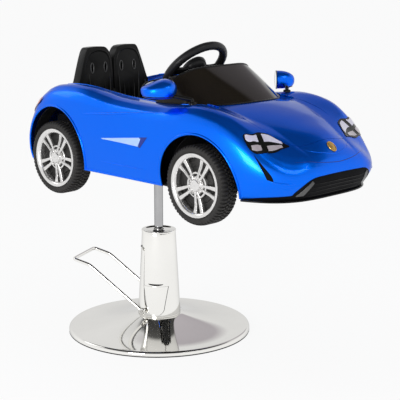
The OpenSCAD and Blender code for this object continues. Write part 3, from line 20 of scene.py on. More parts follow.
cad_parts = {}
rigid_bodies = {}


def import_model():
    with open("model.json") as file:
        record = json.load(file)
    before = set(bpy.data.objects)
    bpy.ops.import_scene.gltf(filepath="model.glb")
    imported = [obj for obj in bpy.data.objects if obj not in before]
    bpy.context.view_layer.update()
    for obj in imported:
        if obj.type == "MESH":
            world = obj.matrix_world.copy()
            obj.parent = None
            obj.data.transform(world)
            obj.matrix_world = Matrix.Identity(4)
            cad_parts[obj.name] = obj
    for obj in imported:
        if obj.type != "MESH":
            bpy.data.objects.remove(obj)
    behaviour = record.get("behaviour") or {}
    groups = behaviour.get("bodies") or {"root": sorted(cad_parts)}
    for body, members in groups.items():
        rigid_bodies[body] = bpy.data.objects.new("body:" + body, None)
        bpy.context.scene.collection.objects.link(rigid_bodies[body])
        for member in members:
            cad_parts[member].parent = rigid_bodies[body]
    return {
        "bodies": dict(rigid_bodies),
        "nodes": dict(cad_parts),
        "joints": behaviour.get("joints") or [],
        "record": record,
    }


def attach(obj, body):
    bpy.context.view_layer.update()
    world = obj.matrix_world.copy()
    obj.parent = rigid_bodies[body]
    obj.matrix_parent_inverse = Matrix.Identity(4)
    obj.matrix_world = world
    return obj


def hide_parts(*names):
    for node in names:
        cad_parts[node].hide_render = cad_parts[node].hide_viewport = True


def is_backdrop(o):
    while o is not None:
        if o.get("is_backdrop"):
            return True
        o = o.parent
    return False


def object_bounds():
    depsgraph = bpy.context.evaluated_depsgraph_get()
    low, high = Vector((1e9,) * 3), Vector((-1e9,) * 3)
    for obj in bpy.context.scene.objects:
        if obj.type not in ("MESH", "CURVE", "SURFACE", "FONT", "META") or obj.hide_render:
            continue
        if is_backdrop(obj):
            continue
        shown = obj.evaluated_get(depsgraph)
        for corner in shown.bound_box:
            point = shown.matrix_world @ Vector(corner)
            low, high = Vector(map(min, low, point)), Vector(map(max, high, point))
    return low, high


log = logging.getLogger("barber_car")

Colour = tuple[float, float, float]
Place = tuple[float, float, float]
Pair = tuple[float, float]
Piece = bpy.types.Object
Socket = bpy.types.NodeSocket

FULL_TURN = 2 * math.pi
MERGE_GAP = 0.00001
# How square the oval is that the bonnet's rear edge and the windscreen share
OVAL_POWER = 2 / 2.4
# Values of a noise between which a roughness and a colour drift
ROUGH_STOPS = (0.25, 0.75)
COLOUR_STOPS = (0.3, 0.7)
RELIEF_SHARE = 0.5


class Side(Enum):
    """Left and right of the car, as the sign of Y."""

    LEFT = 1
    RIGHT = -1


class Corner(Enum):
    """The four road wheels, by the ending of their node names."""

    FRONT_LEFT = "front_left"
    FRONT_RIGHT = "front_right"
    REAR_LEFT = "rear_left"
    REAR_RIGHT = "rear_right"

    @property
    def side(self) -> Side:
        """Side of the car that the wheel stands on."""
        return Side.LEFT if self.value.endswith("left") else Side.RIGHT


class Board:
    """Node tree of a material or a world, with short calls to add and join its nodes."""

    def __init__(self, owner: bpy.types.Material | bpy.types.World, output: str) -> None:
        """Clears the tree and starts it with its output.

        Args:
            owner: The material or the world.
            output: Type of the output node.
        """
        owner.use_nodes = True
        self.tree = owner.node_tree
        self.tree.nodes.clear()
        self.surface = self.add(output).inputs["Surface"]
        self.place = self.add("ShaderNodeTexCoord")

    def add(self, kind: str, **sockets: object) -> bpy.types.Node:
        """Adds one node.

        Args:
            kind: Node type.
            **sockets: Input values by socket name, with _ for a space.

        Returns:
            The new node.
        """
        node = self.tree.nodes.new(kind)
        for name, value in sockets.items():
            node.inputs[name.replace("_", " ")].default_value = value
        return node

    def join(self, start: Socket, end: Socket) -> None:
        """Links an output socket to an input socket."""
        self.tree.links.new(start, end)

    def noise(self, scale: float, detail: float = 3, stretch: Sequence[float] = (1, 1, 1)) -> Socket:
        """Noise over Object coordinates.

        Args:
            scale: Features per metre.
            detail: Octaves.
            stretch: Factor along each axis before the noise.

        Returns:
            The noise's factor socket.
        """
        mapping = self.add("ShaderNodeMapping", Scale=stretch)
        self.join(self.place.outputs["Object"], mapping.inputs["Vector"])
        node = self.add("ShaderNodeTexNoise", Scale=scale, Detail=detail)
        self.join(mapping.outputs["Vector"], node.inputs["Vector"])
        return node.outputs["Fac"]

    def spread(self, factor: Socket, ends: Pair, values: Pair = (0, 1)) -> Socket:
        """Spreads a factor over a range.

        Args:
            factor: Socket with the factor.
            ends: Factor where the range starts and ends.
            values: Values at those ends.

        Returns:
            The result socket.
        """
        node = self.add("ShaderNodeMapRange", From_Min=ends[0], From_Max=ends[1], To_Min=values[0],
                        To_Max=values[1])
        self.join(factor, node.inputs["Value"])
        return node.outputs["Result"]

    def ramp(self, factor: Socket, stops: Sequence[tuple[float, Colour]]) -> Socket:
        """Colour read from a ramp.

        Args:
            factor: Socket with the place on the ramp.
            stops: Place and colour of each stop in order.

        Returns:
            The colour socket.
        """
        node = self.add("ShaderNodeValToRGB")
        elements = node.color_ramp.elements
        while len(elements) < len(stops):
            elements.new(0.5)
        for element, (place, colour) in zip(elements, stops):
            element.position = place
            element.color = (*colour, 1)
        self.join(factor, node.inputs["Fac"])
        return node.outputs["Color"]

    def blend(self, factor: Socket, first: Socket, second: Socket) -> Socket:
        """Mix of two shaders.

        Args:
            factor: Share of the second shader.
            first: The first shader.
            second: The second shader.

        Returns:
            The mixed shader's socket.
        """
        node = self.add("ShaderNodeMixShader")
        for start, end in zip((factor, first, second), node.inputs):
            self.join(start, end)
        return node.outputs["Shader"]


@dataclass(frozen=True)
class Finish:
    """One surface finish: its colours, its gloss and the fine relief that it shows.

    Attributes:
        name: Name of the material.
        slot: Name of a slot for its pieces; not used.
        colour: Base colour.
        worn: Second colour that the base drifts to in soft patches.
        metallic: Share of metal.
        roughness: Lowest and highest roughness.
        coat: Weight of a clear coat.
        coat_roughness: Roughness of the clear coat.
        coat_ior: Index of refraction of the clear coat.
        edge: Tone of a metal where it turns away.
        grain: Features per metre of the relief.
        depth: Depth of the relief in metres.
        stretch: Factor along each axis of the relief's noise.
        patch: Features per metre of the colour drift.
        transmission: Share of light that goes through.
        ior: Index of refraction.
    """

    name: str
    slot: str
    colour: Colour
    worn: Colour
    metallic: float = 0.0
    roughness: Pair = (0.35, 0.45)
    coat: float = 0.0
    coat_roughness: float = 0.03
    coat_ior: float = 1.5
    edge: float = 1.0
    grain: float = 900.0
    depth: float = 0.0001
    stretch: Place = (1, 1, 1)
    patch: float = 9.0
    transmission: float = 0.0
    ior: float = 1.5

    def make(self) -> bpy.types.Material:
        """Builds the finish as a node material.

        Returns:
            The material.
        """
        material = bpy.data.materials.new(self.name)
        board = Board(material, "ShaderNodeOutputMaterial")
        shader = board.add("ShaderNodeBsdfPrincipled", Metallic=self.metallic, IOR=self.ior,
                           Coat_Weight=self.coat, Coat_Roughness=self.coat_roughness, Coat_IOR=self.coat_ior,
                           Specular_Tint=(self.edge, self.edge, self.edge, 1),
                           Transmission_Weight=self.transmission)
        patches = board.noise(self.patch, 4)
        board.join(board.ramp(patches, tuple(zip(COLOUR_STOPS, (self.colour, self.worn)))),
                   shader.inputs["Base Color"])
        smudges = board.noise(self.patch * 3, 5, self.stretch)
        board.join(board.spread(smudges, ROUGH_STOPS, self.roughness), shader.inputs["Roughness"])
        grain = board.noise(self.grain, 2, self.stretch)
        bump = board.add("ShaderNodeBump", Strength=RELIEF_SHARE, Distance=self.depth)
        board.join(grain, bump.inputs["Height"])
        board.join(bump.outputs["Normal"], shader.inputs["Normal"])
        board.join(shader.outputs["BSDF"], board.surface)
        return material


PAINT = Finish("blue_metallic_paint", "blue_shell", (0.0, 0.15, 0.98), (0.0, 0.165, 1.0), metallic=0.92,
               roughness=(0.3, 0.33), edge=0.4, coat=0.8, coat_roughness=0.02, coat_ior=1.2, grain=2600,
               depth=0.000004, patch=2.5, ior=1.2)
# Painted shade: dark navy for the shade in the side vent's recess and in the nose's groove.
PAINTED_SHADE_BLUE = Finish("painted_shade_blue", "blue_shell", (0.0, 0.015, 0.22), (0.0, 0.02, 0.27), grain=300)
# Painted highlight: pale blue that stands for light caught on the air blade's sloping face.
PAINTED_HIGHLIGHT_BLUE = Finish("painted_highlight_blue", "blue_shell", (0.36, 0.56, 0.98), (0.42, 0.6, 1.0), roughness=(0.2, 0.28),
                   coat=0.6, grain=300, depth=0.00001)
CHROME = Finish("polished_chrome", "chrome", (0.93, 0.92, 0.89), (0.88, 0.87, 0.84), metallic=1.0,
                roughness=(0.03, 0.07), grain=45, depth=0.00003, patch=5, edge=0.7)
RAM_CHROME = Finish("ground_chrome", "chrome", (0.5, 0.5, 0.5), (0.4, 0.4, 0.41), metallic=1.0,
                    roughness=(0.05, 0.1), grain=160, depth=0.00003, stretch=(1, 1, 0.06), patch=12, edge=0.05)
STEEL = Finish("zinc_steel", "bright_steel", (0.52, 0.51, 0.49), (0.44, 0.43, 0.41), metallic=1.0,
               roughness=(0.25, 0.4), grain=400)
DARK_STEEL = Finish("painted_steel", "dark_steel", (0.025, 0.026, 0.028), (0.035, 0.035, 0.036),
                    roughness=(0.35, 0.5), grain=700)
CASTING = Finish("grey_casting", "grey_casting", (0.19, 0.19, 0.2), (0.15, 0.15, 0.16), metallic=0.6,
                 roughness=(0.5, 0.65), grain=350, depth=0.0003)
RUBBER = Finish("black_rubber", "black_rubber", (0.018, 0.018, 0.019), (0.026, 0.026, 0.027),
                roughness=(0.6, 0.75))
TYRE = Finish("tyre_compound", "tyre_black", (0.018, 0.017, 0.016), (0.028, 0.026, 0.025),
              roughness=(0.5, 0.66), grain=600, depth=0.00025, patch=14, ior=1.35)
MOULDING = Finish("black_moulding", "black_moulding", (0.009, 0.009, 0.01), (0.013, 0.013, 0.014),
                  roughness=(0.4, 0.5), grain=1500, depth=0.00008, ior=1.3)
GLOSS_BLACK = Finish("gloss_black", "gloss_black", (0.005, 0.005, 0.005), (0.008, 0.008, 0.007),
                     roughness=(0.2, 0.28), coat=0.2, coat_ior=1.3, grain=60, depth=0.00002, ior=1.25)
SEAT = Finish("seat_moulding", "seat_black", (0.008, 0.008, 0.008), (0.011, 0.011, 0.011),
              roughness=(0.26, 0.36), coat=0.1, coat_roughness=0.14, coat_ior=1.2, grain=1100, depth=0.00004,
              ior=1.2)
GRIP = Finish("grip_moulding", "wheel_black", (0.011, 0.011, 0.012), (0.016, 0.016, 0.017),
              roughness=(0.3, 0.4), grain=1300, depth=0.00008, ior=1.3)
SMOKED = Finish("smoked_screen", "smoked_screen", (0.022, 0.017, 0.011), (0.017, 0.013, 0.01),
                roughness=(0.05, 0.09), coat=0.3, coat_ior=1.2, grain=20, depth=0.00001, transmission=0.35,
                ior=1.25)
RIM = Finish("rim_silver", "rim_silver", (0.8, 0.79, 0.78), (0.72, 0.71, 0.7), metallic=0.9,
             roughness=(0.2, 0.3), grain=500, depth=0.00005, patch=20)
POCKET = Finish("rim_pocket", "gloss_black", (0.05, 0.048, 0.046), (0.035, 0.034, 0.033), metallic=0.2,
                roughness=(0.4, 0.55))
LENS = Finish("pale_lens", "clear_lens", (0.66, 0.62, 0.8), (0.78, 0.76, 0.88), roughness=(0.08, 0.14),
              coat=1.0, grain=320, depth=0.0003, stretch=(1, 1, 0.15), patch=30)
LOW_LENS = Finish("low_lens", "clear_lens", (0.4, 0.34, 0.38), (0.5, 0.45, 0.48), roughness=(0.12, 0.2),
                  coat=0.8, grain=320, depth=0.0003, stretch=(1, 1, 0.15), patch=30)
# Grey for the corner blades, and painted highlight for the seat's slot rings and pleat crests.
GREY_TRIM_AND_SHEEN = Finish("grey_trim_and_highlight", "satin_silver", (0.1, 0.1, 0.1), (0.07, 0.07, 0.072), metallic=0.4,
                   roughness=(0.3, 0.4), grain=300)
RED_LENS = Finish("red_lens", "red_lens", (0.42, 0.01, 0.01), (0.5, 0.015, 0.012), roughness=(0.08, 0.14),
                  coat=1.0, grain=400, depth=0.0002, stretch=(1, 0.15, 1), patch=30)
GOLD = Finish("badge_gold", "gold_badge", (0.55, 0.3, 0.06), (0.72, 0.45, 0.13), metallic=0.85,
              roughness=(0.22, 0.36), grain=420, depth=0.0002, patch=160)
SATIN = Finish("satin_silver", "satin_silver", (0.5, 0.5, 0.52), (0.44, 0.44, 0.46), metallic=0.8,
               roughness=(0.3, 0.4))
ORANGE = Finish("orange_button", "orange_button", (0.85, 0.2, 0.02), (0.78, 0.17, 0.015),
                roughness=(0.25, 0.35), coat=0.4)
MIRROR = Finish("mirror_glass", "mirror_glass", (0.75, 0.78, 0.8), (0.7, 0.73, 0.75), metallic=1.0,
                roughness=(0.02, 0.05), grain=30, depth=0.00001)
# Painted shade: near black with its reflections held low, for the slits, the intake's mouth and the dark behind
# the shroud's slot; also the panel's dark seams.
SHADOW_BLACK = Finish("painted_shade_black", "gloss_black", (0.004, 0.004, 0.005), (0.006, 0.006, 0.007),
                      roughness=(0.6, 0.7), ior=1.15)

NODE_FINISHES = (
    (DARK_STEEL, ("base_plate", "seat_plate", "underframe", "front_axle")),
    (STEEL, ("pump_gland", "pump_bolts", "pump_plunger", "piston_head", "pedal_shaft", "plate_bolts",
             "seat_bolts", "rear_axle", "steering_column", "steering_spindle", "tie_rod")),
    (CASTING, ("pump_body", "knuckle_left", "knuckle_right")),
    (RUBBER, ("base_ring", "piston_seals")),
    (CHROME, ("base_cover", "shroud", "shroud_cap", "shroud_panel", "pedal_frame")),
    (RAM_CHROME, ("ram_rod",)),
    (PAINT, ("side_panel_left", "side_panel_right", "hood", "front_bumper", "rear_body", "mirror_left",
             "mirror_right")),
    (MOULDING, ("chassis_tub", "air_dam", "dashboard", "arch_liners", "accelerator")),
    (GLOSS_BLACK, ("splitter", "headlights")),
    (LENS, ("headlight_lenses",)),
    (RED_LENS, ("tail_light",)),
    (SMOKED, ("windscreen",)),
    (SEAT, ("double_seat",)),
    (MIRROR, ("mirror_glasses",)),
    (GOLD, ("badge",)),
    (GRIP, ("steering_wheel",)),
    (SATIN, ("horn_button", "gear_switch")),
    (ORANGE, ("start_button",)),
    (TYRE, tuple(f"tyre_{corner.value}" for corner in Corner)),
    (RIM, tuple(f"rim_{corner.value}" for corner in Corner)),
)


class Workshop:
    """The frame and the finishes that every sub-assembly draws on."""

    def __init__(self) -> None:
        """Loads the frame and keeps its box."""
        self.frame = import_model()
        self.cad_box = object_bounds()
        self.made: dict[str, bpy.types.Material] = {}
        self.count = 0

    def finish(self, finish: Finish) -> bpy.types.Material:
        """Material of a finish, built once."""
        if finish.name not in self.made:
            self.made[finish.name] = finish.make()
        return self.made[finish.name]

    def dress_node(self, node: str, finish: Finish) -> None:
        """Gives a node of the frame its material."""
        for place in self.frame["nodes"][node].material_slots:
            place.material = self.finish(finish)

    def settle(self, piece: Piece, body: str, finish: Finish, *nodes: str, shade: float = 0.0) -> None:
        """Shades and finishes a piece and puts it on its body.

        Args:
            piece: The modelled piece.
            body: Body that it rides on.
            finish: Its finish.
            *nodes: Nodes of the frame that it stands for.
            shade: Angle in degrees for smooth shading, or 0 to leave the shading as it is.
        """
        if shade:
            smooth(piece, shade)
        apply_place(piece)
        piece.data.materials.clear()
        piece.data.materials.append(self.finish(finish))
        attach(piece, body)
        if nodes:
            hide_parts(*nodes)
        self.count += 1
        log.info("piece %s on %s, %d faces", piece.name, body, len(piece.data.polygons))


def deselect() -> None:
    """Leaves nothing selected."""
    if bpy.context.object is not None and bpy.context.object.mode != "OBJECT":
        bpy.ops.object.mode_set(mode="OBJECT")
    bpy.ops.object.select_all(action="DESELECT")


def choose(piece: Piece) -> None:
    """Makes a piece the only selected and the active one."""
    deselect()
    piece.select_set(True)
    bpy.context.view_layer.objects.active = piece


def named(name: str) -> Piece:
    """Names the piece that the last operator added.

    Args:
        name: Name of the piece.

    Returns:
        The piece.
    """
    piece = bpy.context.object
    piece.name = name
    piece.data.name = name
    return piece


def apply_place(piece: Piece) -> None:
    """Moves a piece's place, turn and scale into its mesh."""
    choose(piece)
    bpy.ops.object.transform_apply()


def edit(piece: Piece, mode: str = "FACE", action: str = "SELECT") -> None:
    """Opens a piece in edit mode.

    Args:
        piece: The piece.
        mode: Select mode: VERT, EDGE or FACE.
        action: SELECT for all selected or DESELECT for nothing.
    """
    choose(piece)
    bpy.ops.object.mode_set(mode="EDIT")
    bpy.ops.mesh.select_mode(type=mode)
    bpy.ops.mesh.select_all(action=action)


def leave_edit() -> None:
    """Leaves edit mode."""
    bpy.ops.object.mode_set(mode="OBJECT")


def modify(piece: Piece, kind: str, **values: object) -> None:
    """Adds a modifier and applies it.

    Args:
        piece: The piece.
        kind: Modifier type.
        **values: Its settings.
    """
    choose(piece)
    modifier = piece.modifiers.new(kind.lower(), kind)
    for name, value in values.items():
        setattr(modifier, name, value)
    bpy.ops.object.modifier_apply(modifier=modifier.name)


def smooth(piece: Piece, degrees: float) -> None:
    """Shades a piece smooth where its faces meet at less than an angle."""
    choose(piece)
    bpy.ops.object.shade_smooth_by_angle(angle=math.radians(degrees))


def rounded(piece: Piece, width: float, segments: int = 2, degrees: float = 35.0) -> None:
    """Rounds the edges of a piece that are sharper than an angle in degrees."""
    modify(piece, "BEVEL", width=width, segments=segments, limit_method="ANGLE",
           angle_limit=math.radians(degrees))


def outward(piece: Piece) -> None:
    """Turns all faces outwards after merging what lies together."""
    edit(piece, "VERT")
    bpy.ops.mesh.remove_doubles(threshold=MERGE_GAP)
    bpy.ops.mesh.normals_make_consistent()
    leave_edit()


def joined(name: str, pieces: Sequence[Piece]) -> Piece:
    """Joins pieces into the first one.

    Args:
        name: Name of the result.
        pieces: The pieces to join.

    Returns:
        The joined piece.
    """
    for piece in pieces:
        apply_place(piece)
    choose(pieces[0])
    for piece in pieces:
        piece.select_set(True)
    if len(pieces) > 1:
        bpy.ops.object.join()
    return named(name)


def twin(piece: Piece, name: str, change: Matrix) -> Piece:
    """Copy of a piece with its own mesh, moved by a matrix.

    Args:
        piece: The piece to copy.
        name: Name of the copy.
        change: What moves or turns the copy.

    Returns:
        The copy.
    """
    copy = bpy.data.objects.new(name, piece.data.copy())
    bpy.context.scene.collection.objects.link(copy)
    copy.data.transform(change)
    if change.determinant() < 0:
        copy.data.flip_normals()
    return copy


def moved(x: float, y: float, z: float) -> Matrix:
    """Matrix of a shift."""
    return Matrix.Translation((x, y, z))


def turned(angle: float, axis: str = "Z") -> Matrix:
    """Matrix of a turn about an axis."""
    return Matrix.Rotation(angle, 4, axis)


def across(piece: Piece, name: str) -> Piece:
    """Mirror image of a piece on the other side of the car."""
    return twin(piece, name, Matrix.Diagonal((1, -1, 1, 1)))


def around(piece: Piece, name: str, count: int) -> Piece:
    """Ring of a piece and its copies about Z, joined into one."""
    copies = [twin(piece, f"{name}_{i}", turned(FULL_TURN * i / count)) for i in range(1, count)]
    return joined(name, [piece, *copies])


def lathe(name: str, profile: Sequence[Pair], segments: int) -> Piece:
    """Round piece turned about Z, ring by ring, with its last ring joined to the first.

    Args:
        name: Name of the piece.
        profile: Radius and height of each ring.
        segments: Faces round each ring.

    Returns:
        The piece.
    """
    radius, height = profile[0]
    deselect()
    bpy.ops.mesh.primitive_circle_add(vertices=segments, radius=radius, location=(0, 0, height))
    piece = named(name)
    apply_place(piece)
    edit(piece, "EDGE")
    for next_radius, next_height in profile[1:]:
        bpy.ops.mesh.extrude_region_move(TRANSFORM_OT_translate={"value": (0, 0, next_height - height)})
        ratio = next_radius / radius
        bpy.ops.transform.resize(value=(ratio, ratio, 1), center_override=(0, 0, next_height))
        radius, height = next_radius, next_height
    bpy.ops.mesh.select_all(action="SELECT")
    bpy.ops.mesh.remove_doubles(threshold=MERGE_GAP)
    leave_edit()
    edit(piece, "EDGE", "DESELECT")
    bpy.ops.mesh.select_non_manifold()
    piece.update_from_editmode()
    if any(edge.select for edge in piece.data.edges):
        bpy.ops.mesh.bridge_edge_loops()
    leave_edit()
    outward(piece)
    return piece


def round_corner(centre: Pair, radius: float, start: float, end: float, steps: int) -> list[Pair]:
    """Points on an arc of a profile, from one angle in degrees to another."""
    turns = [math.radians(start + (end - start) * i / steps) for i in range(steps + 1)]
    return [(centre[0] + radius * math.cos(t), centre[1] + radius * math.sin(t)) for t in turns]


def ellipse(centre: Pair, half: Pair, count: int) -> list[Pair]:
    """Even points on an ellipse with given half axes."""
    turns = [FULL_TURN * i / count for i in range(count)]
    return [(centre[0] + half[0] * math.cos(t), centre[1] + half[1] * math.sin(t)) for t in turns]


def ring_point(radius: float, turn: float, height: float) -> Vector:
    """Point on a circle about Z."""
    return Vector((radius * math.cos(turn), radius * math.sin(turn), height))


def tube(name: str, points: Sequence[Vector], radius: float, sides: int = 6, cyclic: bool = False,
         taper: Sequence[float] | None = None) -> Piece:
    """Round bar along a smooth path, as a mesh.

    Args:
        name: Name of the piece.
        points: Points that the bar passes through.
        radius: Its radius.
        sides: Resolution of its round section.
        cyclic: Whether it closes on itself.
        taper: Radius share at each point, 1 if left out.

    Returns:
        The bar.
    """
    deselect()
    bpy.ops.curve.primitive_bezier_curve_add()
    piece = named(name)
    curve = piece.data
    curve.dimensions = "3D"
    curve.bevel_depth = radius
    curve.bevel_resolution = sides
    curve.resolution_u = 8
    curve.use_fill_caps = not cyclic
    spline = curve.splines[0]
    spline.bezier_points.add(len(points) - 2)
    for i, (knot, point) in enumerate(zip(spline.bezier_points, points)):
        knot.co = point
        knot.radius = taper[i] if taper else 1
        knot.handle_left_type = knot.handle_right_type = "AUTO"
    spline.use_cyclic_u = cyclic
    choose(piece)
    bpy.ops.object.convert(target="MESH")
    piece = named(name)
    outward(piece)
    smooth(piece, 50)
    return piece


def prism(name: str, outline: Sequence[Pair], depth: float) -> Piece:
    """Flat outline in the XY plane given a depth along +Z.

    Args:
        name: Name of the piece.
        outline: Its corners in order.
        depth: Thickness.

    Returns:
        The prism.
    """
    deselect()
    bpy.ops.mesh.primitive_circle_add(vertices=len(outline), radius=0.01, fill_type="NGON")
    piece = named(name)
    for vertex, corner in zip(piece.data.vertices, outline):
        vertex.co = (corner[0], corner[1], 0)
    edit(piece)
    bpy.ops.mesh.extrude_region_move(TRANSFORM_OT_translate={"value": (0, 0, depth)})
    leave_edit()
    outward(piece)
    return piece


def cut(piece: Piece, tools: Sequence[Piece]) -> None:
    """Cuts tools out of a piece, and removes the tools."""
    for tool in tools:
        modify(piece, "BOOLEAN", operation="DIFFERENCE", object=tool, solver="EXACT")
        bpy.data.objects.remove(tool)


def filleted(points: Sequence[Vector], radius: float, steps: int = 6) -> list[Vector]:
    """Path with its inner corners rounded.

    Args:
        points: Corners of the path.
        radius: How far before and after a corner the round reaches.
        steps: Points on each round.

    Returns:
        The points of the rounded path.
    """
    path = [points[0]]
    for before, corner, after in zip(points, points[1:], points[2:]):
        start = corner + (before - corner).normalized() * radius
        end = corner + (after - corner).normalized() * radius
        for t in spread(0, 1, steps):
            path.append(start.lerp(corner, t).lerp(corner.lerp(end, t), t))
    return [*path, points[-1]]


def softened(outline: Sequence[Pair]) -> list[Pair]:
    """Closed outline with its corners cut back softly, in two passes.

    Args:
        outline: Corners in order.

    Returns:
        The finer outline.
    """
    points = list(outline)
    for _ in range(2):
        finer = []
        for (ax, ay), (bx, by) in zip(points, [*points[1:], points[0]]):
            finer += [(mix(ax, bx, 0.25), mix(ay, by, 0.25)), (mix(ax, bx, 0.75), mix(ay, by, 0.75))]
        points = finer
    return points


def placed(piece: Piece, change: Matrix) -> Piece:
    """Moves a piece's mesh by a matrix and returns the piece."""
    piece.data.transform(change)
    piece.data.update()
    return piece


def eased(node: Piece, name: str, width: float) -> Piece:
    """Copy of a node of the frame with its flat faces merged and its edges rounded.

    Args:
        node: The node to copy.
        name: Name of the copy.
        width: Width of the round.

    Returns:
        The copy.
    """
    piece = twin(node, name, Matrix.Identity(4))
    choose(piece)
    if piece.data.has_custom_normals:
        bpy.ops.mesh.customdata_custom_splitnormals_clear()
    edit(piece, "VERT")
    bpy.ops.mesh.remove_doubles(threshold=MERGE_GAP)
    bpy.ops.mesh.dissolve_limited(angle_limit=math.radians(1))
    leave_edit()
    rounded(piece, width, 3, 40)
    smooth(piece, 40)
    return piece


def aimed(place: Place, target: Place) -> Euler:
    """Turn of a camera or a lamp that looks from a place at a target."""
    return (Vector(target) - Vector(place)).to_track_quat("-Z", "Y").to_euler()


@dataclass(frozen=True)
class Softbox:
    """One rectangular lamp.

    Attributes:
        name: Its name.
        place: Where it stands.
        target: Where it points.
        size: Its two sides.
        power: Its power in watts.
    """

    name: str
    place: Place
    target: Place
    size: Pair
    power: float

    def light(self) -> None:
        """Adds the lamp."""
        bpy.ops.object.light_add(type="AREA", location=self.place, rotation=aimed(self.place, self.target))
        lamp = bpy.context.object
        lamp.name = f"{self.name}_softbox"
        lamp.data.shape = "RECTANGLE"
        lamp.data.size, lamp.data.size_y = self.size
        lamp.data.energy = self.power


@dataclass
class Studio:
    """Camera, floor, world and lamps.

    Attributes:
        camera_place: Where the camera stands.
        camera_target: What it looks at.
        lens: Focal length in millimetres.
        sensor: Width of the sensor in millimetres.
        sight: How far the camera sees.
        floor_size: Side of the floor.
        floor_drop: How far the floor lies under the rubber ring.
        floor_tone: Tone of the floor in the light of the lamps.
        floor_glow: Share of plain white in the floor that the camera, gloss and glass see.
        sky_tones: Place from straight down at 0 to straight up at 1, and tone that gloss shows there.
        sky_colour: Colour of the light from all round.
        sky_power: Strength of that light.
        window_way: Direction of a pale window that gloss shows.
        window_edge: Cosines where that window starts and is full.
        window_colour: Colour of that window.
        lamps: The softboxes.
    """

    camera_place: Place = (3.04229, -2.83791, 1.36942)
    camera_target: Place = (0.10203, 0.10204, 0.46508)
    lens: float = 109.9
    sensor: float = 36.0
    sight: float = 120.0
    floor_size: float = 60.0
    floor_drop: float = 0.0004
    floor_tone: float = 0.9
    floor_glow: float = 0.9
    sky_tones: tuple[Pair, ...] = ((0.0, 0.95), (0.2, 0.95), (0.5, 0.85), (0.64, 0.7), (0.69, 0.1),
                                   (0.82, 0.05), (1.0, 0.12))
    sky_colour: Colour = (0.95, 0.97, 1.0)
    sky_power: float = 0.62
    window_way: Place = (-0.4, 0.7, 0.62)
    window_edge: Pair = (0.945, 0.965)
    window_colour: Colour = (0.5, 0.47, 0.5)
    lamps: tuple[Softbox, ...] = (Softbox("key", (1.1, -3.1, 1.0), (0.35, 0, 0.65), (1.1, 1.0), 38.0),
                                  Softbox("fill", (2.5, 0.2, 3.1), (0.4, 0, 0.7), (1.2, 0.7), 9.0),
                                  Softbox("rim", (-2.4, -1.2, 2.4), (0, 0, 0.7), (0.9, 1.4), 7.0))

    def build(self) -> None:
        """Sets the camera, the floor, the world and the lamps."""
        bpy.context.scene.view_settings.view_transform = "Standard"
        self.set_camera()
        self.set_floor()
        self.set_world()
        for lamp in self.lamps:
            lamp.light()

    def set_camera(self) -> None:
        """Camera at the photograph's place."""
        turn = aimed(self.camera_place, self.camera_target)
        bpy.ops.object.camera_add(location=self.camera_place, rotation=turn)
        camera = bpy.context.object
        camera.data.sensor_width = self.sensor
        camera.data.lens = self.lens
        camera.data.clip_end = self.sight
        bpy.context.scene.camera = camera

    def set_floor(self) -> None:
        """Wide pale floor that keeps the object's shadow and shows white to the camera."""
        deselect()
        bpy.ops.mesh.primitive_plane_add(size=self.floor_size, location=(0, 0, -self.floor_drop))
        floor = named("studio_floor")
        material = bpy.data.materials.new("studio_white")
        board = Board(material, "ShaderNodeOutputMaterial")
        matte = board.add("ShaderNodeBsdfDiffuse", Color=(self.floor_tone, self.floor_tone, self.floor_tone, 1))
        glow = board.add("ShaderNodeEmission", Color=(1, 1, 1, 1), Strength=1.0)
        seen = self.seen_directly(board, self.floor_glow)
        board.join(board.blend(seen, matte.outputs["BSDF"], glow.outputs["Emission"]), board.surface)
        floor.data.materials.append(material)
        floor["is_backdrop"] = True

    @staticmethod
    def seen_directly(board: Board, share: float) -> Socket:
        """Factor that is a share for camera, mirror and glass rays, and nothing for the rest.

        Args:
            board: The node tree.
            share: Value for those rays.

        Returns:
            The factor socket.
        """
        path = board.add("ShaderNodeLightPath")
        total = path.outputs["Is Camera Ray"]
        for name in ("Is Glossy Ray", "Is Transmission Ray"):
            either = board.add("ShaderNodeMath")
            either.operation = "MAXIMUM"
            board.join(total, either.inputs[0])
            board.join(path.outputs[name], either.inputs[1])
            total = either.outputs[0]
        return board.spread(total, (0, 1), (0, share))

    def set_world(self) -> None:
        """White to the camera and soft all round; gloss shows it darker overhead, with one pale window."""
        world = bpy.data.worlds.new("studio")
        bpy.context.scene.world = world
        board = Board(world, "ShaderNodeOutputWorld")
        way = board.place.outputs["Generated"]
        split = board.add("ShaderNodeSeparateXYZ")
        board.join(way, split.inputs["Vector"])
        sky = board.ramp(split.outputs["Z"], [(height, (tone, tone, tone)) for height, tone in self.sky_tones])
        towards = board.add("ShaderNodeVectorMath")
        towards.operation = "DOT_PRODUCT"
        towards.inputs[1].default_value = Vector(self.window_way).normalized()
        board.join(way, towards.inputs[0])
        lit = board.add("ShaderNodeMixRGB", Color2=(*self.window_colour, 1))
        board.join(board.spread(towards.outputs["Value"], self.window_edge), lit.inputs["Fac"])
        board.join(sky, lit.inputs["Color1"])
        gloss = board.add("ShaderNodeBackground")
        board.join(lit.outputs["Color"], gloss.inputs["Color"])
        light = board.add("ShaderNodeBackground", Color=(*self.sky_colour, 1), Strength=self.sky_power)
        white = board.add("ShaderNodeBackground", Color=(1, 1, 1, 1))
        path = board.add("ShaderNodeLightPath")
        shader = light.outputs["Background"]
        for ray, other in (("Is Glossy Ray", gloss), ("Is Camera Ray", white), ("Is Transmission Ray", white)):
            shader = board.blend(path.outputs[ray], shader, other.outputs["Background"])
        board.join(shader, board.surface)


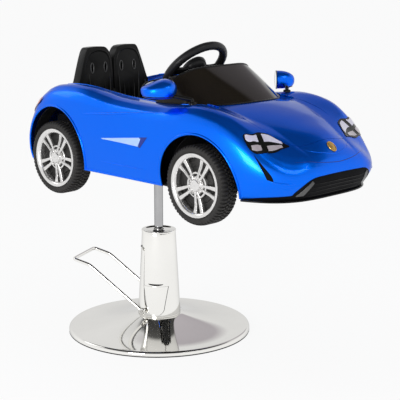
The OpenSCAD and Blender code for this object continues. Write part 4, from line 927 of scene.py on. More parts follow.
@dataclass
class PumpBase:
    """Round chrome base cover.

    Attributes:
        radius: Radius over the rolled rim.
        rim_height: Top of the rolled rim.
        crown_height: Top of the flat ledge under the shroud.
        rim_round: Radius of the roll.
        wall: Sheet thickness.
        foot_height: Where the rim ends over the rubber ring.
        ledge_radius: Radius of the flat ledge.
        hole_radius: Hole for the pump.
        dish_steps: Rings between the rim and the ledge.
    """

    shop: Workshop
    radius: float = 0.32
    rim_height: float = 0.018
    crown_height: float = 0.058
    rim_round: float = 0.009
    wall: float = 0.002
    foot_height: float = 0.004
    ledge_radius: float = 0.078
    hole_radius: float = 0.07
    dish_steps: int = 24

    def dish(self, drop: float) -> list[Pair]:
        """Rings from the top of the rim up to the ledge.

        Args:
            drop: How far they lie under the outer face.

        Returns:
            Radius and height of each ring.
        """
        outer = self.radius - self.rim_round
        shares = [i / self.dish_steps for i in range(1, self.dish_steps + 1)]
        return [(outer + (self.ledge_radius - outer) * s,
                 self.rim_height + (self.crown_height - self.rim_height) * s * s - drop) for s in shares]

    def build(self) -> None:
        """Turns the cover with its rolled rim and dished top."""
        middle = (self.radius - self.rim_round, self.rim_height - self.rim_round)
        inner = self.rim_round - self.wall
        profile = [(self.radius, self.foot_height), *round_corner(middle, self.rim_round, 0, 90, 10),
                   *self.dish(0), (self.hole_radius, self.crown_height),
                   (self.hole_radius, self.crown_height - self.wall), *reversed(self.dish(self.wall)),
                   *round_corner(middle, inner, 90, 0, 6), (self.radius - self.wall, self.foot_height)]
        cover = lathe("base_dish", profile, 192)
        self.shop.settle(cover, "base", CHROME, "base_cover", shade=40)


# Outer surface of the car. CREST, SWAGE and RIDGE: share of the length from the tail, share of the height.
# ROWS, from the sill up: share of the height, and how full the plan is at the nose, the sides and the tail.
CREST = (
    (0, 0.51), (0.03, 0.62), (0.06, 0.73), (0.094, 0.86), (0.144, 0.955), (0.193, 0.99), (0.242, 1),
    (0.291, 0.99), (0.34, 0.957), (0.41, 0.915), (0.508, 0.895), (0.587, 0.898), (0.636, 0.918),
    (0.685, 0.94), (0.724, 0.935), (0.764, 0.91), (0.803, 0.862), (0.843, 0.77), (0.872, 0.675),
    (0.907, 0.54), (0.941, 0.43), (0.97, 0.355), (1, 0.315))
SWAGE = (
    (0, 0.64), (0.035, 0.75), (0.07, 0.855), (0.124, 0.935), (0.212, 0.963), (0.34, 0.925), (0.5, 0.893),
    (0.66, 0.905), (0.7, 0.898), (0.75, 0.866), (0.81, 0.793), (0.87, 0.695), (0.935, 0.54),
    (0.965, 0.465), (1, 0.355))
RIDGE = (
    (0, 0.68), (0.035, 0.79), (0.07, 0.885), (0.124, 0.955), (0.212, 0.97), (0.34, 0.935), (0.5, 0.9),
    (0.66, 0.92), (0.72, 0.924), (0.77, 0.887), (0.83, 0.818), (0.87, 0.753), (0.915, 0.672),
    (0.955, 0.56), (0.982, 0.45), (1, 0.36))
ROWS = (
    (0, 0.935, 0.945, 0.995), (0.15, 0.958, 0.968, 1), (0.32, 0.978, 0.988, 0.992), (0.5, 0.994, 1, 0.978),
    (0.68, 1, 0.996, 0.958), (0.82, 0.998, 0.976, 0.932), (0.92, 0.988, 0.935, 0.905),
    (0.98, 0.97, 0.87, 0.88), (1, 0.945, 0.8, 0.87), (1, 0.92, 0.66, 0.865), (1, 0.885, 0.52, 0.86))


def clamp(value: float) -> float:
    """Value kept from 0 to 1."""
    return max(0.0, min(1.0, value))


def ease(low: float, high: float, value: float) -> float:
    """Soft step from 0 at the low end to 1 at the high end."""
    share = clamp((value - low) / (high - low))
    return share * share * (3 - 2 * share)


def mix(first: float, second: float, share: float) -> float:
    """Value between two values."""
    return first + (second - first) * share


def spread(first: float, last: float, steps: int) -> list[float]:
    """Even values from the first to the last."""
    return [mix(first, last, i / steps) for i in range(steps + 1)]


def soft(table: Sequence[Sequence[float]], place: float, column: int = 1) -> float:
    """Smooth curve through a table.

    Args:
        table: Rows that start with their place.
        place: Where to read it.
        column: Column to read.

    Returns:
        The value.
    """
    last = len(table) - 1
    row = max(0, min(last - 1, sum(1 for r in table if r[0] <= place) - 1))
    width = table[row + 1][0] - table[row][0]
    t = clamp((place - table[row][0]) / width)

    def slope(i: int) -> float:
        """Slope at a row, from the rows beside it."""
        low, high = table[max(i - 1, 0)], table[min(i + 1, last)]
        return (high[column] - low[column]) / (high[0] - low[0]) * width

    return ((2 * t ** 3 - 3 * t ** 2 + 1) * table[row][column] + (t ** 3 - 2 * t ** 2 + t) * slope(row)
            + (3 * t ** 2 - 2 * t ** 3) * table[row + 1][column] + (t ** 3 - t ** 2) * slope(row + 1))


@dataclass(frozen=True)
class Skin:
    """Outer surface of the car, read by place round the plan and by row up the side.

    A place runs from 0 at the nose over 2 at the left side to 4 at the tail, and is negative on the
    right. Rows run from 0 at the sill to 8 at the crest and on to 10 at the edge of the bonnet.

    Attributes:
        sill: Height of the sill.
        rise: Height of the body over it.
        length: Length of the body.
        half: Half its width.
        nose: X of the nose.
        middle_share: Widest station as a share of the length from the tail.
        nose_power: How square the plan is at the nose.
        tail_power: How square the plan is at the tail.
    """

    sill: float = 0.603
    rise: float = 0.275
    length: float = 1.226
    half: float = 0.303
    nose: float = 0.806
    middle_share: float = 0.521
    nose_power: float = 3.6
    tail_power: float = 8.0

    @property
    def tail(self) -> float:
        """X of the tail."""
        return self.nose - self.length

    @property
    def middle(self) -> float:
        """X of the widest station."""
        return self.tail + self.middle_share * self.length

    def top(self, x: float, y: float) -> float:
        """Height of the skin over a point of the plan."""
        share = clamp((x - self.tail) / self.length)
        swage = self.half * (0.5 - 0.18 * ease(0.73, 1, share))
        crest = self.half * (0.786 - 0.132 * ease(0.83, 1, share))
        inner, across_y = soft(SWAGE, share), abs(y)
        if across_y < swage:
            ridge = soft(RIDGE, share)
            return self.sill + self.rise * (ridge + (inner - ridge) * (across_y / swage) ** 2)
        return self.sill + self.rise * mix(inner, soft(CREST, share), ease(swage, crest, across_y))

    def outline(self, place: float) -> Pair:
        """Point of the unit plan outline at a place."""
        q = place - 8 if place > 4 else place + 8 if place < -4 else place
        sign = math.copysign(1, q)
        if abs(q) <= 1:
            x, y = 1.0, q
        elif abs(q) <= 3:
            x, y = 2 - abs(q), sign
        else:
            x, y = -1.0, sign * (4 - abs(q))
        power = self.nose_power if x > 0 else self.tail_power
        factor = (abs(x) ** power + abs(y) ** power) ** (-1 / power)
        return x * factor, y * factor

    def point(self, place: float, row: float, out: float = 0.0) -> Vector:
        """Point of the skin.

        Args:
            place: Place round the plan.
            row: Row up the side.
            out: How far it stands proud.

        Returns:
            The point.
        """
        ox, oy = self.outline(place)
        low = max(0, min(len(ROWS) - 2, int(row)))
        table = [(i, *ROWS[i]) for i in range(max(low - 1, 0), min(low + 3, len(ROWS)))]
        lean = ease(0, 1, ox * ox / (ox * ox + oy * oy))
        full = mix(soft(table, row, 3), soft(table, row, 2 if ox > 0 else 4), lean)
        reach = self.nose - self.middle if ox > 0 else self.middle - self.tail
        x = self.middle + (reach + out) * ox * full
        y = (self.half + out) * oy * full
        share = mix(ROWS[low][0], ROWS[low + 1][0], row - low)
        return Vector((x, y, self.sill + (self.top(x, y) + out - self.sill) * share))

    def side_place(self, x: float) -> float:
        """Place round the plan of a station of the left side."""
        ahead = x > self.middle
        share = abs(x - self.middle) / (self.nose - self.middle if ahead else self.middle - self.tail)
        power = self.nose_power if ahead else self.tail_power
        turn = (share ** power / (1 - share ** power)) ** (1 / power)
        return 2 - turn if ahead else 2 + turn

    def side_point(self, x: float, z: float, out: float = 0.0) -> Vector:
        """Point of the left side at a station and a height.

        Args:
            x: Station.
            z: Height.
            out: How far it stands proud.

        Returns:
            The point.
        """
        station, row = x, 4.0
        for _ in range(12):
            point = self.point(self.side_place(station), row, out)
            station += x - point.x
            share = (z - self.sill) / (self.top(point.x, point.y) + out - self.sill)
            low = max(0, min(7, sum(1 for r in ROWS[:9] if r[0] <= share) - 1))
            row = min(8.0, max(0.0, low + (share - ROWS[low][0]) / (ROWS[low + 1][0] - ROWS[low][0])))
        return point


SKIN = Skin()


def sheet(name: str, rows: Sequence[Sequence[Vector]], thick: float, core: Vector | None = None) -> Piece:
    """Sheet over a grid of points, thickened inwards.

    Args:
        name: Name of the piece.
        rows: Points row by row, all rows alike in length.
        thick: Thickness, or 0 for a bare sheet.
        core: Point that the sheet's outer face looks away from.

    Returns:
        The sheet.
    """
    deselect()
    bpy.ops.mesh.primitive_grid_add(x_subdivisions=len(rows[0]) - 1, y_subdivisions=len(rows) - 1, size=2)
    piece = named(name)
    for vertex, point in zip(piece.data.vertices, (p for row in rows for p in row)):
        vertex.co = point
    piece.data.update()
    middle = core if core is not None else Vector((0.2, 0, 0.6))
    facing = sum((f.center - middle).normalized().dot(f.normal) * f.area for f in piece.data.polygons)
    if facing < 0:
        piece.data.flip_normals()
    if thick:
        modify(piece, "SOLIDIFY", thickness=thick)
    smooth(piece, 40)
    return piece


def panel(name: str, places: Sequence[float], lows: Sequence[float], highs: Sequence[float], steps: int,
          thick: float, out: float = 0.0, flip: bool = False) -> Piece:
    """Panel that follows the car's skin between two edges.

    Args:
        name: Name of the piece.
        places: Places round the plan.
        lows: Row of the lower edge at each place.
        highs: Row of the upper edge at each place.
        steps: Faces from the lower to the upper edge.
        thick: Thickness, laid inwards.
        out: How far the outer face stands proud of the skin.
        flip: Whether it lies on the other side of the car.

    Returns:
        The panel.
    """
    side = -1 if flip else 1
    rows = [[SKIN.point(side * q, mix(low, high, i / steps), out) for q, low, high in zip(places, lows, highs)]
            for i in range(steps + 1)]
    return sheet(name, rows, thick)


def oval_point(rear: float, reach: float, half: float, turn: float, inset: float = 0.0) -> Vector:
    """Point by its heading on a rounded oval that starts at a rear station, seen from above."""
    return Vector((rear + (reach - inset) * abs(math.cos(turn)) ** OVAL_POWER,
                   math.copysign((half - inset) * abs(math.sin(turn)) ** OVAL_POWER, turn), 0))


def bead(name: str, points: Sequence[Vector], radius: float, taper: bool = True) -> Piece:
    """Fine raised line along points, drawn out at its ends.

    Args:
        name: Name of the piece.
        points: Points that it follows.
        radius: Its radius.
        taper: Whether its ends run out thin.

    Returns:
        The line.
    """
    last = len(points) - 1
    shares = [max(0.12, math.sin(math.pi * i / last) ** 0.5) if taper else 1.0 for i in range(last + 1)]
    return tube(name, points, radius, 2, False, shares)


@dataclass
class BodyShell:
    """The painted shell: two flanks, nose, tail and bonnet, with their lips, lines and trim.

    Attributes:
        wall: Wall of the mouldings.
        front_seam: Station where the flank meets the nose.
        rear_seam: Station where the flank meets the tail.
        arches: Station, height and radius of the front and rear wheel arch.
        lip: Radius of the rolled lip round an arch.
        card_ends: Stations where a side card starts and ends.
        card_foot: Distance out and height of the tub's wall under a side card.
        card_crown: How far a side card bulges.
        card_wall: Thickness of a side card.
        edge_rows: Row of the flank's upper edge along the cockpit and beside the bonnet.
        edge_stretch: Where that edge changes rows, as shares of the length ahead of the middle.
        bonnet_oval: Reach and half width of the bonnet's rear edge, as shares of the body's.
        bonnet_gap: How far the bonnet runs on under the windscreen.
        bonnet_ends: Place round the plan where the bonnet ends at either side.
        bonnet_turn: Heading on the oval at those ends.
        shoulder: Station and height of both ends of the shoulder crease.
        skirt: First station, last station and height of the skirt line.
        blade_top: Station and height of points on the air blade's top edge.
        blade_foot: The same on its foot.
        vent_start: Station of the vent's rear edge at its top and at its foot.
        vent_end: The same for its front edge.
    """

    shop: Workshop
    wall: float = 0.004
    front_seam: float = 0.5732
    rear_seam: float = -0.279
    arches: tuple[tuple[float, float, float], ...] = ((0.474, 0.63, 0.155), (-0.2, 0.647, 0.158))
    lip: float = 0.0042
    card_ends: Pair = (-0.272, -0.022)
    card_foot: Pair = (0.1705, 0.7515)
    card_crown: float = 0.012
    card_wall: float = 0.002
    edge_rows: Pair = (9, 10)
    edge_stretch: Pair = (0.36, 0.63)
    bonnet_oval: Pair = (0.438, 0.694)
    bonnet_gap: float = 0.012
    bonnet_ends: float = 1.35
    bonnet_turn: float = math.radians(58)
    shoulder: tuple[Pair, Pair] = ((-0.06, 0.793), (0.33, 0.832))
    skirt: Place = (0.03, 0.27, 0.6465)
    blade_top: tuple[Pair, ...] = ((0.056, 0.7255), (0.15, 0.737), (0.246, 0.7485))
    blade_foot: tuple[Pair, ...] = ((0.056, 0.7235), (0.15, 0.722), (0.233, 0.719))
    vent_start: Pair = (0.24, 0.229)
    vent_end: Pair = (0.274, 0.24)

    def build(self) -> None:
        """Builds every panel and what is moulded on it."""
        self.flanks()
        self.ends()
        self.bonnet()
        self.lips()
        self.creases()
        self.lower_nose()
        self.side_cards()

    def keep(self, piece: Piece, finish: Finish, *nodes: str, shade: float = 0.0) -> None:
        """Shades and finishes a piece and puts it on the car."""
        self.shop.settle(piece, "car", finish, *nodes, shade=shade)

    def keep_both(self, left: Piece, finish: Finish, node: str = "", shade: float = 0.0) -> None:
        """Keeps a piece of the left side and its mirror image on the right.

        Args:
            left: The piece of the left side.
            finish: Finish of both.
            node: Start of the names of the two nodes that they stand for, if there are any.
            shade: Angle in degrees for smooth shading.
        """
        right = across(left, left.name.replace("left", "right"))
        for piece, side in ((left, "left"), (right, "right")):
            nodes = [f"{node}_{side}"] if node else []
            self.keep(piece, finish, *nodes, shade=shade)

    def high_row(self, x: float) -> float:
        """Row of the flank's upper edge at a station."""
        share = (x - SKIN.middle) / (SKIN.nose - SKIN.middle)
        return mix(*self.edge_rows, ease(*self.edge_stretch, share))

    def side_cards(self) -> None:
        """Black cards that close the cockpit over the rear wheels, from the tub's wall to the flank's edge."""
        rows = []
        for x in spread(*self.card_ends, 40):
            foot = Vector((x, *self.card_foot))
            edge = SKIN.point(SKIN.side_place(x), self.high_row(x) - 0.45, -0.006)
            rows.append([foot.lerp(edge, t) + Vector((0, 0, self.card_crown * math.sin(math.pi * t)))
                         for t in spread(0, 1, 10)])
        self.keep_both(sheet("side_card_left", rows, self.card_wall), MOULDING)

    def wheel_cut(self) -> list[Piece]:
        """Cylinders across the car that open the wheel arches."""
        tools = []
        for i, (x, z, radius) in enumerate(self.arches):
            deselect()
            bpy.ops.mesh.primitive_cylinder_add(vertices=160, radius=radius, depth=0.8, location=(x, 0, z),
                                                rotation=(math.pi / 2, 0, 0))
            tools.append(named(f"arch_cutter_{i}"))
        return tools

    def flanks(self) -> None:
        """The two long side panels."""
        stations = spread(self.rear_seam, self.front_seam, 130)
        places = [SKIN.side_place(x) for x in stations]
        edge = [self.high_row(x) for x in stations]
        flank = panel("flank_left", places, [0] * len(places), edge, 46, self.wall)
        cut(flank, self.wheel_cut())
        self.keep_both(flank, PAINT, "side_panel", 40)

    def ends(self) -> None:
        """Nose and tail."""
        front, rear = SKIN.side_place(self.front_seam + 0.0002), SKIN.side_place(self.rear_seam - 0.0002)
        for name, first, last, top, steps, node in (("nose_cone", -front, front, 10, 48, "front_bumper"),
                                                    ("tail_shell", rear, 8 - rear, 9, 44, "rear_body")):
            shell = panel(name, spread(first, last, 150), [0] * 151, [top] * 151, steps, self.wall)
            cut(shell, self.wheel_cut())
            self.keep(shell, PAINT, node, shade=40)

    def bonnet(self) -> None:
        """Bonnet between the fenders and the foot of the windscreen."""
        reach = self.bonnet_oval[0] * (SKIN.nose - SKIN.middle) - self.bonnet_gap
        half = self.bonnet_oval[1] * SKIN.half - self.bonnet_gap
        rows = []
        for share in spread(0, 1, 30):
            row = []
            for q in spread(-self.bonnet_ends, self.bonnet_ends, 90):
                edge = SKIN.point(q, self.edge_rows[1], -mix(0.0004, 0.0042, ease(0.75, 1.05, abs(q))))
                rear = oval_point(SKIN.middle, reach, half, self.bonnet_turn * q / self.bonnet_ends)
                spot = Vector((mix(edge.x, rear.x, share), mix(edge.y, rear.y, share), 0))
                spot.z = SKIN.top(spot.x, spot.y) + 0.0004
                row.append(spot)
            rows.append(row)
        bonnet = sheet("bonnet", rows, self.wall, Vector((0.5, 0, 0)))
        rounded(bonnet, 0.0012, 2, 60)
        self.keep(bonnet, PAINT, "hood", shade=40)

    def lips(self) -> None:
        """Rolled lips round the arches, along the sill and round the cockpit."""
        lines = []
        for i, (x, z, radius) in enumerate(self.arches):
            start = math.degrees(math.asin((SKIN.sill + 0.002 - z) / radius))
            turns = [math.radians(a) for a in spread(start, 180 - start, 40)]
            arc = [SKIN.side_point(x + radius * math.cos(t), z + radius * math.sin(t), -0.0008) for t in turns]
            lines.append(bead(f"arch_lip_{i}", arc, self.lip, False))
        rim = [SKIN.point(SKIN.side_place(x), self.high_row(x), -0.0012) for x in spread(-0.36, 0.55, 40)]
        lines.append(bead("cockpit_lip", rim, 0.0032, False))
        (front, _, front_radius), (rear, _, rear_radius) = self.arches
        low, high = rear + rear_radius - 0.006, front - front_radius + 0.006
        sill = [SKIN.side_point(x, SKIN.sill + 0.004, -0.0006) for x in spread(low, high, 12)]
        lines.append(bead("sill_lip", sill, 0.0036, False))
        self.keep_both(joined("body_lips_left", lines), PAINT, shade=50)

    def creases(self) -> None:
        """Shoulder crease, skirt line, an air blade painted pale as a painted highlight, and its vent as a dark
        sheet of painted shade, on each flank.
        """
        (start, foot), (end, top) = self.shoulder
        shoulder = [SKIN.side_point(mix(start, end, s), mix(foot, top, s), -0.0012) for s in spread(0, 1, 16)]
        skirt = [SKIN.side_point(x, self.skirt[2], -0.0006) for x in spread(self.skirt[0], self.skirt[1], 10)]
        upper, lower = ([(i / 2, *point) for i, point in enumerate(edge)]
                        for edge in (self.blade_top, self.blade_foot))
        (first, _), (_, _), (tip, tip_top) = self.blade_top
        foot_tip, tip_foot = self.blade_foot[-1]
        rows = []
        for drop in spread(0, 1, 6):
            row = []
            for t in spread(0, 1, 24):
                height = mix(soft(upper, t, 2), soft(lower, t, 2), drop)
                out = 0.0008 + 0.0045 * drop * (1 - 0.5 * drop) * t
                row.append(SKIN.side_point(mix(first, mix(tip, foot_tip, drop), t), height, out))
            rows.append(row)
        blade = sheet("air_blade_left", rows, 0.0012, Vector((0.15, 0, 0.73)))
        # The vent is a dark sheet laid on the flank: painted shade of its recess.
        rows = []
        for drop in spread(0, 1, 8):
            rear, front = mix(*self.vent_start, drop), mix(*self.vent_end, drop)
            height = mix(tip_top, tip_foot, drop)
            rows.append([SKIN.side_point(mix(rear, front, t), height + 0.004 * t * (1 - 2 * drop), 0.0012)
                         for t in spread(0, 1, 6)])
        vent = sheet("air_vent_left", rows, 0.001, Vector((0.25, 0, 0.73)))
        raised = joined("flank_lines_left", [bead("shoulder", shoulder, 0.0042), bead("skirt", skirt, 0.0026)])
        self.keep_both(raised, PAINT, shade=45)
        self.keep_both(blade, PAINTED_HIGHLIGHT_BLUE)
        self.keep_both(vent, PAINTED_SHADE_BLUE)

    def lower_nose(self) -> None:
        """Slits beside the lamps, laid on as dark sheets of painted shade, bonnet line, the fold over the
        splitter, and a dark line of painted shade in the nose's groove.
        """
        slits, folds = [], []
        for side in (-1, 1):
            places = spread(1.062, 0.93, 12)
            lows = [mix(5.45, 3.2, i / 12) for i in range(13)]
            widths = [0.004 + 0.085 * math.sin(math.pi * min(1, i / 12 * 0.72)) for i in range(13)]
            rows = [[SKIN.point(side * (q - w * s), k, 0.0008) for q, k, w in zip(places, lows, widths)]
                    for s in (0, 0.5, 1)]
            # Each slit is a dark sheet laid on the skin: painted shade of the slit.
            slits.append(sheet(f"slit_{side}", rows, 0.001))
            fold = [SKIN.point(side * mix(0.9, 0.6, s), mix(3.1, 3.5, s), -0.0008) for s in spread(0, 1, 10)]
            folds.append(bead(f"fold_{side}", fold, 0.0028))
        arc = [SKIN.point(q, 7.55 + 2.1 * (abs(q) / 0.4) ** 1.6, -0.0006) for q in spread(-0.4, 0.4, 24)]
        folds.append(bead("bonnet_line", arc, 0.0018))
        # Dark bead across the nose: painted shade of a groove.
        seam = [SKIN.point(q, mix(6.9, 7.3, ease(0.2, 0.6, abs(q))) - 0.6 * (1 - ease(0, 0.4, abs(q))), -0.0004)
                for q in spread(-0.62, 0.62, 50)]
        self.keep(bead("nose_groove", seam, 0.0012), PAINTED_SHADE_BLUE)
        self.keep(joined("nose_slits", slits), SHADOW_BLACK)
        self.keep(joined("nose_lines", folds), PAINT, shade=50)


@dataclass
class NoseTrim:
    """Splitter, grille and lamps of the nose and tail.

    Attributes:
        lamp_edge: Place round the nose, lower, middle and upper row of the lamp.
        upper_cells: Places that each upper lens spans.
        lower_cells: Places that each lower lens spans.
        upper_band: Shares of the lamp's height that the upper lenses span.
        lower_band: The same for the lower lenses.
        bed_rise: How far the lamp's bed stands proud, and its thickness.
        lens_rise: The same for a lens.
        grille_end: Place where the grille's bed ends at either side.
        mouth_end: Place where the grille's mouth ends.
        bar_rows: Rows of the grille's bars.
        chin_end: Place where the splitter ends at either side.
        chin_reach: How far the splitter stands proud and how far it runs in.
        chin_depth: Thickness of the splitter.
    """

    shop: Workshop
    lamp_edge: tuple[tuple[float, float, float, float], ...] = (
        (0.53, 9.55, 9.62, 9.7), (0.62, 9, 9.43, 9.85), (0.72, 8.25, 8.95, 9.8), (0.82, 7.5, 8.38, 9.3),
        (0.92, 6.7, 7.68, 8.65), (1.02, 5.85, 6.87, 7.85), (1.1, 5.6, 6.18, 7.15), (1.145, 6.1, 6.35, 6.6))
    upper_cells: tuple[Pair, ...] = ((0.6, 0.85), (0.945, 1.125))
    lower_cells: tuple[Pair, ...] = ((0.62, 0.835), (0.93, 1.07))
    upper_band: Pair = (0.6, 0.93)
    lower_band: Pair = (0.14, 0.42)
    bed_rise: Pair = (0.0024, 0.0015)
    lens_rise: Pair = (0.0046, 0.0016)
    grille_end: float = 1.16
    mouth_end: float = 0.615
    bar_rows: tuple[float, ...] = (0.5, 1.3, 2.1, 2.9)
    chin_end: float = 1.17
    chin_reach: Pair = (0.009, 0.024)
    chin_depth: float = 0.005

    def build(self) -> None:
        """Builds the trim."""
        self.lamps()
        self.grille()
        self.splitter()
        self.tail_lamp()

    def lamp_row(self, place: float, share: float) -> float:
        """Row of the lamp at a place, by its share from the lower edge over 0.5 at the bar to the upper."""
        low, middle, high = (soft(self.lamp_edge, place, i) for i in (1, 2, 3))
        return mix(low, middle, share * 2) if share < 0.5 else mix(middle, high, share * 2 - 1)

    def lamp_cell(self, name: str, places: Pair, shares: Pair, rise: Pair, flip: bool) -> Piece:
        """Part of the lamp between two places and two shares of its height."""
        stops = spread(*places, 20)
        low, high = ([self.lamp_row(q, share) for q in stops] for share in shares)
        return panel(name, stops, low, high, 12, rise[1], rise[0], flip)

    def lamps(self) -> None:
        """Black housings with four lens fields each, pale above the bar and darker under it."""
        houses, pale, low = [], [], []
        fields = ((self.upper_cells, self.upper_band, pale), (self.lower_cells, self.lower_band, low))
        ends = (self.lamp_edge[0][0], self.lamp_edge[-1][0])
        for flip in (False, True):
            houses.append(self.lamp_cell(f"lamp_bed_{flip}", ends, (0, 1), self.bed_rise, flip))
            for cells, band, lenses in fields:
                for places in cells:
                    cell = self.lamp_cell(f"lens_{len(lenses)}", places, band, self.lens_rise, flip)
                    rounded(cell, 0.0008, 2, 50)
                    lenses.append(cell)
        self.shop.settle(joined("headlamp_beds", houses), "car", GLOSS_BLACK, "headlights", shade=40)
        self.shop.settle(joined("headlamp_lenses", pale), "car", LENS, "headlight_lenses", shade=40)
        self.shop.settle(joined("headlamp_low_lenses", low), "car", LOW_LENS, shade=40)

    def grille(self) -> None:
        """Black lower grille with its bars and the pale corner blades."""
        places = spread(-self.grille_end, self.grille_end, 120)
        beyond = self.grille_end - self.mouth_end
        tops = [4.4 - 3.2 * abs(q / self.mouth_end) ** 5 if abs(q) < self.mouth_end
                else mix(1.0, 0.05, (abs(q) - self.mouth_end) / beyond) for q in places]
        # The bed is the intake's black moulding, laid in the near-black finish as painted shade of the intake's
        # mouth.
        bed = panel("grille_bed", places, [0] * len(places), tops, 14, 0.002, 0.0014)
        self.shop.settle(bed, "car", SHADOW_BLACK, "air_dam")
        bars = []
        for row in self.bar_rows:
            span = 0.5 - 0.02 * row
            line = [SKIN.point(q, row, 0.002) for q in spread(-span, span, 30)]
            bars.append(bead(f"bar_{row}", line, 0.0012))
        self.shop.settle(joined("grille_bars", bars), "car", GLOSS_BLACK, shade=40)
        blades = []
        for side in (-1, 1):
            rows = []
            for s in spread(0, 1, 4):
                foot, top = 0.575 - 0.1 * s, 0.43 - 0.03 * s
                rows.append([SKIN.point(side * mix(foot, top, t), mix(0.75, 3.6, t) - 0.5 * s * t, 0.0034)
                             for t in spread(0, 1, 14)])
            blade = sheet(f"blade_{side}", rows, 0.002)
            rounded(blade, 0.0008, 2, 50)
            blades.append(blade)
        self.shop.settle(joined("corner_blades", blades), "car", GREY_TRIM_AND_SHEEN, shade=40)

    def splitter(self) -> None:
        """Thin gloss blade under the nose."""
        places = spread(-self.chin_end, self.chin_end, 120)
        outer = [SKIN.point(q, 0, self.chin_reach[0]) for q in places]
        inner = [SKIN.point(q, 0, -self.chin_reach[1]) for q in reversed(places)]
        blade = prism("chin_blade", [(p.x, p.y) for p in (*outer, *inner)], self.chin_depth)
        placed(blade, moved(0, 0, SKIN.sill - self.chin_depth - 0.0003))
        rounded(blade, 0.0016, 3, 50)
        self.shop.settle(blade, "car", GLOSS_BLACK, "splitter", shade=40)

    def tail_lamp(self) -> None:
        """Red lens strip across the tail."""
        places = spread(2.86, 5.14, 90)
        strip = panel("tail_strip", places, [5.1] * 91, [5.7] * 91, 5, 0.0014, 0.003)
        rounded(strip, 0.0006, 2, 50)
        self.shop.settle(strip, "car", RED_LENS, "tail_light", shade=40)


